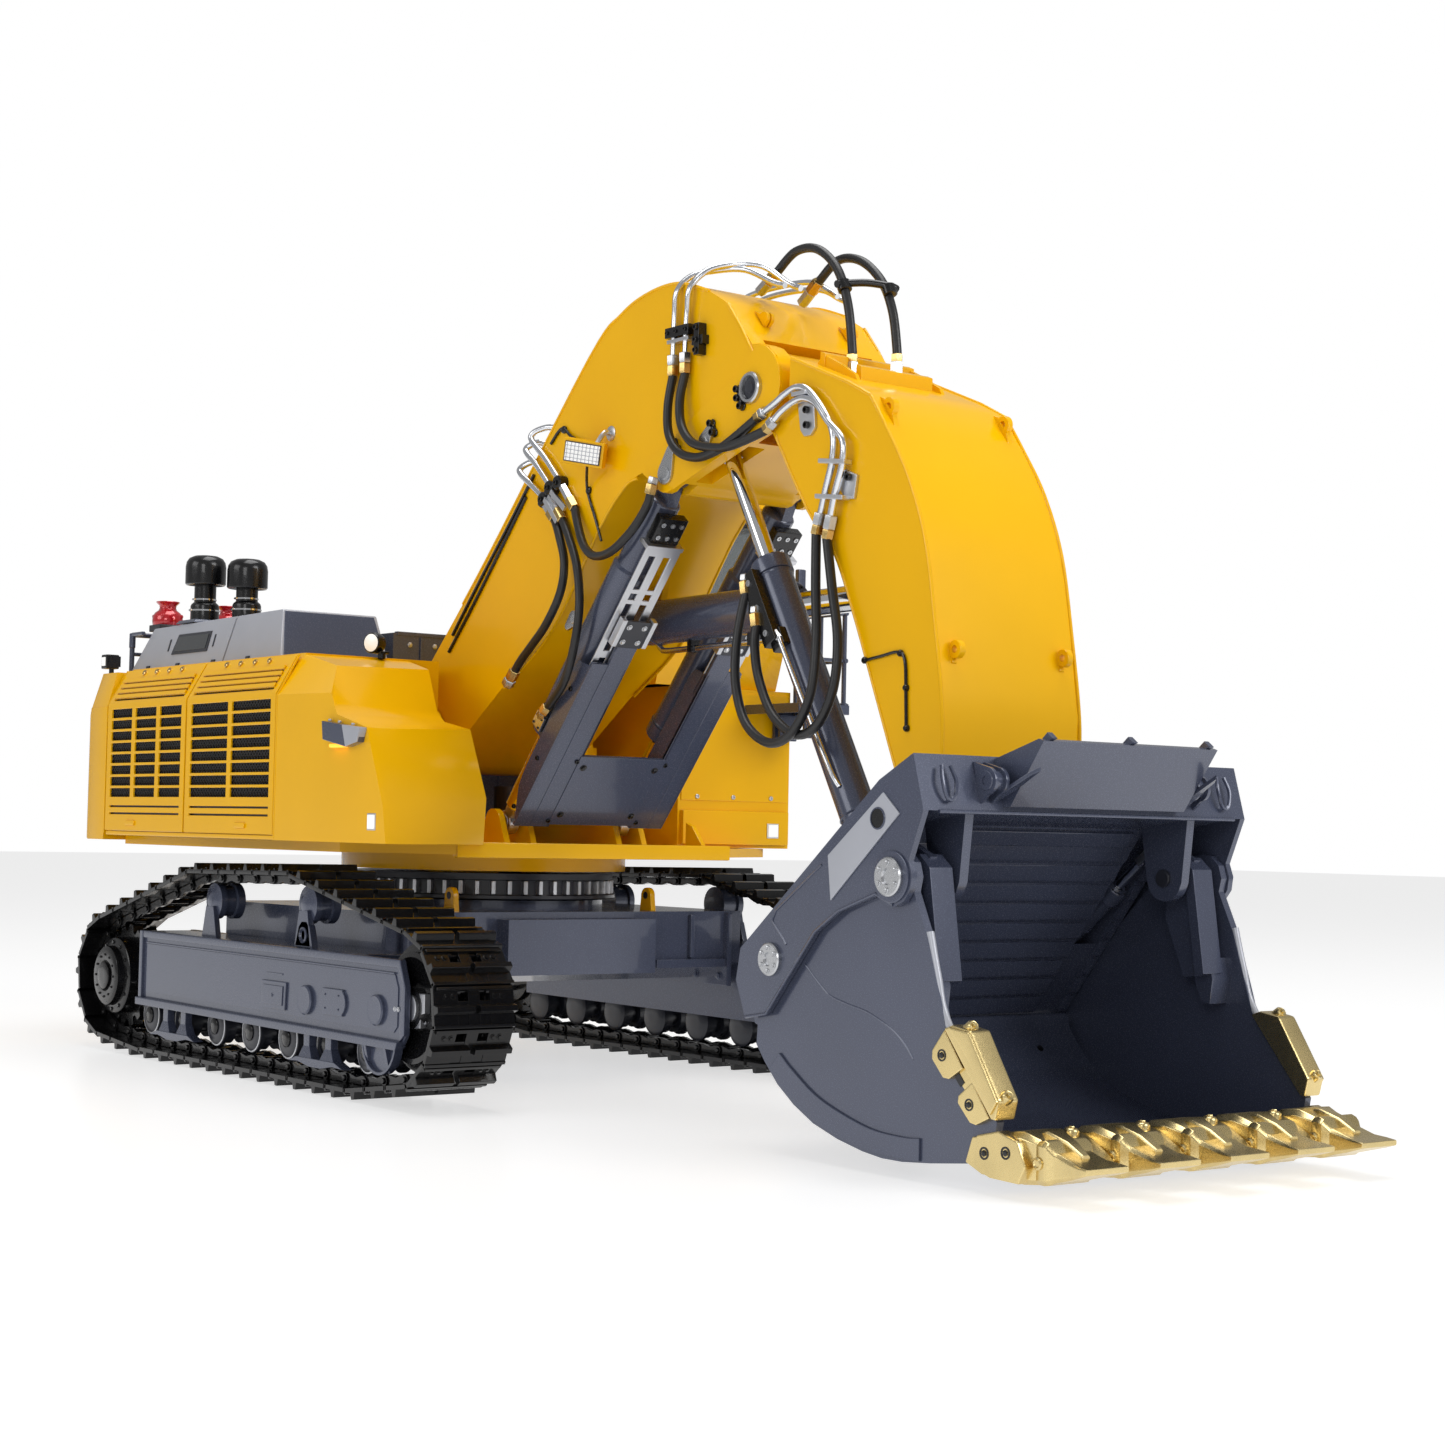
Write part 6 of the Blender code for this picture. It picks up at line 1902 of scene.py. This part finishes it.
def clam_details():
    """The clam's raised rims, creases, a grey tube along each front edge that paints its highlight, levers,
    and black discs on its back seam that paint the shade of its four holes.
    """
    piece = Piece("clam_fittings", "clam", SLATE)
    low = curve([(414, 38.4), (425, 29.2), (446, 18.6), (479, 10.0), (505, 8.4), (517, 8.6)])
    high = curve([(517, 18.4), (505, 17.8), (482, 19.6), (451, 28.4), (431, 39.4), (421, 46.6)])
    crease = curve([(437.3, 87.8), (452.9, 76.1), (466, 72.2), (481, 69.3), (497.1, 63.1), (506, 57),
                    (511.4, 51.3)])
    painted_highlight_edge = [(562.6, 31), (531.4, 66.6), (523.4, 88), (518.4, 106)]
    piece.plates(low + high, 99.8, 101.2, 0.4)
    piece.plates(arc(CLAM_HEAD, 5.4, 40, 250, 8) + [(488, 126), (500, 136)], 83.4, 86.6, 0.3)
    piece.plates([(494, 138.6), (503, 139.2), (509.8, 133.4), (517.2, 84.6), (511.6, 82.6), (505.0, 127.6),
                  (500, 133.4)], 77.4, 91.0, 0.6)
    piece.plates([(505, 92), (514.6, 92), (517.0, 82), (515.4, 70.0), (509.6, 71.0), (506, 80)], 84.0, 96.4,
                 0.6)
    side_collars(piece, CLAM_PIVOT, 4.4, 9.0, 81.8, 90.0, 0.4)
    piece.plate([(411, 58.5), (412.6, 57.2), (415, 50.5), (431, 30), (428, 28.6), (411, 47.5),
                 (409.5, 53.5)],
                -94, 94, 0.3)
    for _, side in SIDES:
        piece.paint = SLATE
        piece.tube(flat(crease, side * 99.8), 0.55, 8, smooth=False)
        # painted highlight: a light grey tube along each cheek's front edge stands for the light that edge
        # catches
        piece.paint = GREY
        piece.tube(flat(painted_highlight_edge, side * 98), 1.9, 10)
        piece.paint = STEEL
        cross_bar(piece, CLAM_HEAD, side, 83.2, 88.4, 2.0)
    # painted shade: four flat black discs on the back seam stand for the dark insides of its holes
    piece.paint = BLACK
    for y in (-66, -22, 22, 66):
        piece.spun((421.6, y, 42.2), (0.79, 0.0, 0.61), [(1.7, -0.2), (1.7, 0.35), (1.2, 0.35)], 16)
    piece.build("slate_paint")


# ---------------------------------------------------------------- teeth and cutters

TOOTH_PITCH = 43.0
TOOTH_COUNT = 5


def eight(x, y, half, low, high, cut):
    """A cross-section of a casting: a box with its corners cut."""
    return [(x, y - half + cut, low), (x, y + half - cut, low), (x, y + half, low + cut),
            (x, y + half, high - cut),
            (x, y + half - cut, high), (x, y - half + cut, high), (x, y - half, high - cut),
            (x, y - half, low + cut)]


def casting(piece, y, sections, bevel):
    """A casting lofted through its cross-sections: place along X, half width, lowest, highest and cut."""
    piece.add([eight(x, y, *section) for x, *section in sections], bevel)


def tooth(piece, y):
    """An adapter nose with a ridge, and the chisel point pushed over it."""
    casting(piece, y, (
        (561.5, 11.5, 7.0, 24.0, 2.0), (566, 13.4, 6.4, 26.4, 2.6), (576, 13.4, 6.0, 27.6, 2.6),
        (583, 11.0, 6.6, 25.0, 2.0), (589, 9.6, 8.0, 22.0, 1.5)), 0.5)
    casting(piece, y, (
        (584.5, 12.6, 7.0, 24.6, 1.8), (588, 13.6, 7.0, 25.4, 2.2), (590.5, 13.4, 7.4, 24.4, 2.0),
        (593.5, 11.0, 8.8, 20.6, 1.6), (602, 10.6, 11.0, 18.0, 1.2), (607, 12.2, 12.4, 17.2, 0.8),
        (612, 12.2, 14.0, 16.4, 0.4)), 0.35)
    casting(piece, y, [(x, w, 18.0, b, 0.8) for x, w, b in (
        (578, 3.4, 27.4), (582, 4.0, 27.8), (592, 3.4, 24.8), (600, 2.4, 20.0))], 0.35)
    for side in (-1, 1):
        piece.spun((586.5, y + side * 13.2, 16), (0, side, 0),
                   [(2.6, -1), (2.6, 0.9), (1.8, 1.4), (1.2, 0.8)], 18)


def shroud(piece, y):
    """A lip shroud between two teeth with its round nugget and bolt."""
    casting(piece, y, (
        (560.8, 8.6, 7.4, 23.0, 1.6), (568, 9.2, 6.8, 24.6, 2.4), (577, 8.8, 7.0, 22.6, 2.6),
        (586, 7.6, 8.2, 18.0, 2.4), (591.5, 6.0, 9.6, 14.4, 1.6)), 0.5)
    piece.spun((570.5, y, 24.0), (0.1, 0, 1), [(3.6, -1), (3.4, 1.6), (2.6, 2.6), (1.7, 2.8), (1.5, 1.9)],
               20)
    piece.bolt((570.8, y, 26.2), (0.1, 0, 1), 1.3, 1.3)


def black_screw(piece, at, side, ring, head):
    """A black screw let into a casting: its ring and its hexagon, by their profiles."""
    piece.spun(at, (0, side, 0), ring, 18)
    piece.spun(at, (0, side, 0), head, 6)


def lip():
    """The tooth bar with its five teeth, four shrouds and two corner castings."""
    piece = Piece("lip_castings", "clam", GOLD, 0.5)
    piece.plate([(560.6, 8), (576, 7.2), (578.5, 13), (573, 22), (562, 20.6)], -101, 101, 0.8)
    for i in range(TOOTH_COUNT):
        tooth(piece, (i - (TOOTH_COUNT - 1) / 2) * TOOTH_PITCH)
    for i in range(TOOTH_COUNT - 1):
        shroud(piece, (i - (TOOTH_COUNT - 2) / 2) * TOOTH_PITCH)
    piece.plates([(552, 10), (561, 7.2), (578, 6.6), (582, 14), (577, 24), (566, 27), (553, 24)], 95.5,
                 102.2, 1.0)
    piece.plates([(546, 12), (556, 8), (566, 9), (566, 25), (550, 23)], 98, 101.6, 0.8)
    piece.paint = BLACK
    for _, side in SIDES:
        for at in flat([(558, 17), (570.5, 18.5)], side * 101.9):
            black_screw(piece, at, side, [(2.7, -0.4), (2.7, 0.5), (1.9, 0.5), (1.7, -0.1)],
                        [(1.4, -0.2), (1.4, 0.7), (0.9, 0.9)])
    piece.build("gold_teeth", "tooth_bar")


def cutter(word, side):
    """A cutter casting over the cheek's front edge, with bolted lobes on the cheek."""
    piece = Piece("cutter_casting_" + word, "clam", GOLD, 0.6)
    front = [(533.4, 66.4), (538.6, 68.2), (550.0, 66.6), (556.0, 57.0), (567.6, 39.4), (565.4, 31.0),
             (562.6, 31.2)]
    piece.plate(front, *span(side, 92.0, 103.4), 1.2)
    rise = [(536.6, 67.4), (549.6, 66.0), (567.2, 38.8), (563.0, 33.0), (549.0, 55.0)]
    piece.plate(rise, *span(side, 93.6, 104.4), 0.9)
    for a, b, c, d in (((533.6, 66.0), (545.4, 50.6), (534.6, 44.0), (524.4, 54.6)),
                       ((551.0, 45.6), (561.6, 31.6), (551.4, 27.0), (540.6, 37.6))):
        lobe = [a, b, mixed(b, c, 0.8), mixed(c, d, 0.15), mixed(c, d, 0.85), mixed(d, a, 0.2)]
        piece.plate(lobe, *span(side, 99.6, 103.0), 0.8)
    piece.plate([(545, 52), (552.5, 44), (546.6, 40.0), (538.4, 47.6)], *span(side, 99.6, 101.4), 0.5)
    outwards = (0.82, 0, 0.57)
    for x, z in ((541.4, 65.0), (562.6, 38.0)):
        piece.spun((x + 2.0, side * 98.4, z + 1.0), outwards,
                   [(3.0, -2), (2.9, 3.6), (2.1, 4.6), (1.3, 4.4)], 18)
        piece.bolt((x + 4.8, side * 98.4, z + 3.0), outwards, 1.2, 2.0)
    piece.paint = BLACK
    for at in flat([(532.4, 55.0), (549.4, 36.0)], side * 102.8):
        black_screw(piece, at, side, [(2.6, -0.4), (2.6, 0.4), (1.9, 0.4), (1.7, -0.2)],
                    [(1.4, -0.3), (1.4, 0.6), (0.9, 0.8)])
    piece.plate([(541.4, 48.6), (545.0, 44.6), (542.6, 42.6), (539.0, 46.4)], *span(side, 101.2, 101.7), 0.1)
    piece.build("gold_teeth", "side_cutter_" + word)


stick_details()
bucket_details()
clam_details()
lip()
for cutter_side in SIDES:
    cutter(*cutter_side)


# ---------------------------------------------------------------- hoses

HOSE_R = 2.4


def hose(name, route, body, far_body=None, *replaced):
    """A free hose drawn as a tube along its route, one that ends on a fitting."""
    path = curve(route, 8)
    drawn = Piece(name, body, HOSE)
    drawn.tube(path, HOSE_R, 14, smooth=False)
    mesh = bpy.data.meshes.new(name)
    mesh.from_pydata([tuple(point(v)) for v in drawn.verts], [], drawn.faces)
    mesh.materials.append(HOSE)
    mesh.shade_smooth()
    mesh.set_sharp_from_angle(angle=math.radians(SHARP_SHEET))
    obj = placed(name, mesh)
    if far_body:
        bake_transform(obj)
    else:
        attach(obj, body)
    if replaced:
        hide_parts(*replaced)


# shift along X and place across the machine of the two hoses over the nose
TOP_ROUTES = ((0, -12), (16, 4))


def top_hoses():
    """Two hoses over the nose, from fittings on the boom to fittings on the stick, tied together."""
    fits = Piece("hose_start_fittings", "boom", STEEL, 0.3)
    for i, (s, y) in enumerate(TOP_ROUTES):
        route = [(297 + s, y, 443 - .3 * s), (312 + s, y, 451 - .3 * s), (330 + s, y, 449 - .4 * s),
                 (346 + s, y, 436 - .4 * s), (355 + s, y, 416 - .2 * s), (359 + s, y, 392),
                 (359 + s, y, 384)]
        hose("hose_top_%d" % (i + 1), route, "boom", "stick", "hoses_top")
        starts = [(282.0 + s, y, 434.4 - .4 * s), (289.4 + s, y, 438.6 - .35 * s),
                  (296 + s, y, 442.6 - .3 * s)]
        fitting(fits, starts, (3.2, STEEL), (3.5, BRASS))
    fits.build("steel")
    tie_span = ("boom", "stick", tuple(point((297, -12, 443))), tuple(point((375, 4, 379))))
    tie = Piece("hose_tie", tie_span, BLACK, 0.4)
    tie.tube([(351.0, -16.4, 426.6), (351.6, -12, 427.4), (360, -4, 427.6), (368.6, 4, 425.6),
              (369, 8.4, 424.8)],
             2.0, 10)
    dx, dz = 0.42, -0.9
    for x, y, z in ((351.6, -12, 426.0), (368.4, 4, 423.4)):
        tie.spun((x - dx * 3, y, z - dz * 3), (dx, 0, dz), [(3.0, 0), (3.7, 0.5), (3.7, 5.5), (3.0, 6)], 20)
    tie.build("black_plastic")
    ends = Piece("hose_ends", "stick", STEEL, 0.3)
    for s, y in TOP_ROUTES:
        nut(ends, (359 + s, y, 386), (359 + s, y, 376 - 0.3 * s), 3.4, STEEL)
        nut(ends, (359 + s, y, 390), (359 + s, y, 385), 3.1, BRASS)
    ends.build("steel")


def side_hoses():
    """Two hoses round the stick pivot, bowed outwards, from the nose pipes to the stick's pipes."""
    starts = ((256.9, 388), (267.7, 388))
    finishes = [along(route[1], route[0], 16.0) for route in STICK_PIPES]
    middles = ([(256.0, 372), (259.6, 356.6), (270, 345.6), (286, 340.8), (301, 342.6), (311, 346.8)],
               [(266.6, 374), (270.6, 360), (281, 349.6), (295, 345.2), (309, 343.6), (322, 345.6)])
    for i, (a, b, between) in enumerate(zip(starts, finishes, middles)):
        bowed = [(x, PIPE_Y - 5.0 * math.sin(math.pi * (k + 1) / 7), z) for k, (x, z) in enumerate(between)]
        route = flat([a], PIPE_Y) + bowed + flat([b], STICK_PIPE_Y)
        hose("hose_side_%d" % (i + 1), route, "boom", "stick", "hoses_side")


def lift_hoses():
    """From the pipe ends on the boom's side down to the right lift barrel, and one along the boom."""
    head, gland, foot = HOSE_STARTS
    hose("hose_lift_head", [head, (171.8, -51, 316), (183, -54, 303), (199, -57.5, 296), (216, -58, 297.6),
                            (232, -56, 308), (241, -53.4, 320), (243.6, -53, 327)], "boom", "lift_barrels")
    hose("hose_lift_gland", [gland, (163.0, -51, 310), (176, -54, 293), (184.0, -57, 270), (181, -58, 247),
                             (171, -57, 229), (157, -55.6, 218), (150.6, -55, 214.6)], "boom",
         "lift_barrels")
    hose("hose_boom_foot", [foot, (153.0, -51, 312), (160.4, -52, 296), (158.6, -53, 279), (145.0, -53, 262),
                            (128, -51.6, 250.6), (116, -50.4, 243.4), (108, -50.4, 236)], "boom")
    fits = Piece("lift_hose_ends", "lift_barrels", STEEL, 0.3)
    for points in ([(243.2, -53, 326), (244.6, -52.6, 331.4), (245.6, -52.2, 335.0)],
                   [(152.0, -55, 215.4), (147.0, -54.6, 212.4), (142.8, -53.4, 209.4)]):
        fitting(fits, points, (3.4, BRASS), (3.0, STEEL))
    fits.build("steel")
    fit = Piece("boom_foot_fitting", "boom", STEEL, 0.3)
    fitting(fit, flat([(109.6, 237.6), (104.8, 232.6), (101.4, 229.0)], -50.4), (3.4, BRASS), (3.8, STEEL))
    fit.build("steel")


def tilt_hoses():
    """From the stick's pipe ends down in a long loop to the valve block on the right tilt barrel."""
    starts = [along(route[-2], route[-1], 23.0) for route in STICK_PIPES]
    ends = ((322.4, -48.6, 268.6), (333.2, -50.0, 251.4))
    loops = ([(383, -53, 268), (389, -57, 240), (389, -60, 214), (377, -61, 196), (359, -61, 191),
              (339, -60, 201),
              (326, -57, 222), (321.6, -53, 246)],
             [(393, -51, 266), (401, -53.6, 240), (401, -56, 216), (391, -57.4, 199), (375, -57.6, 195),
              (356, -56.6, 205), (342, -54.6, 223), (334.6, -52, 240)])
    fits = Piece("tilt_hose_ends", "tilt_barrels", STEEL, 0.3)
    for i, (a, (x, y, z), loop) in enumerate(zip(starts, ends, loops)):
        hose("hose_tilt_%d" % (i + 1), [(a[0], -49.2, a[1])] + loop + [(x, y, z)], "stick")
        fitting(fits, [(x, y, z - 1), (x - 1.4, y + 0.2, z + 5.6), (x - 1.8, y + 0.8, z + 9.0)],
                (3.2, BRASS), (2.8, STEEL))
    fits.build("steel")


top_hoses()
side_hoses()
lift_hoses()
tilt_hoses()
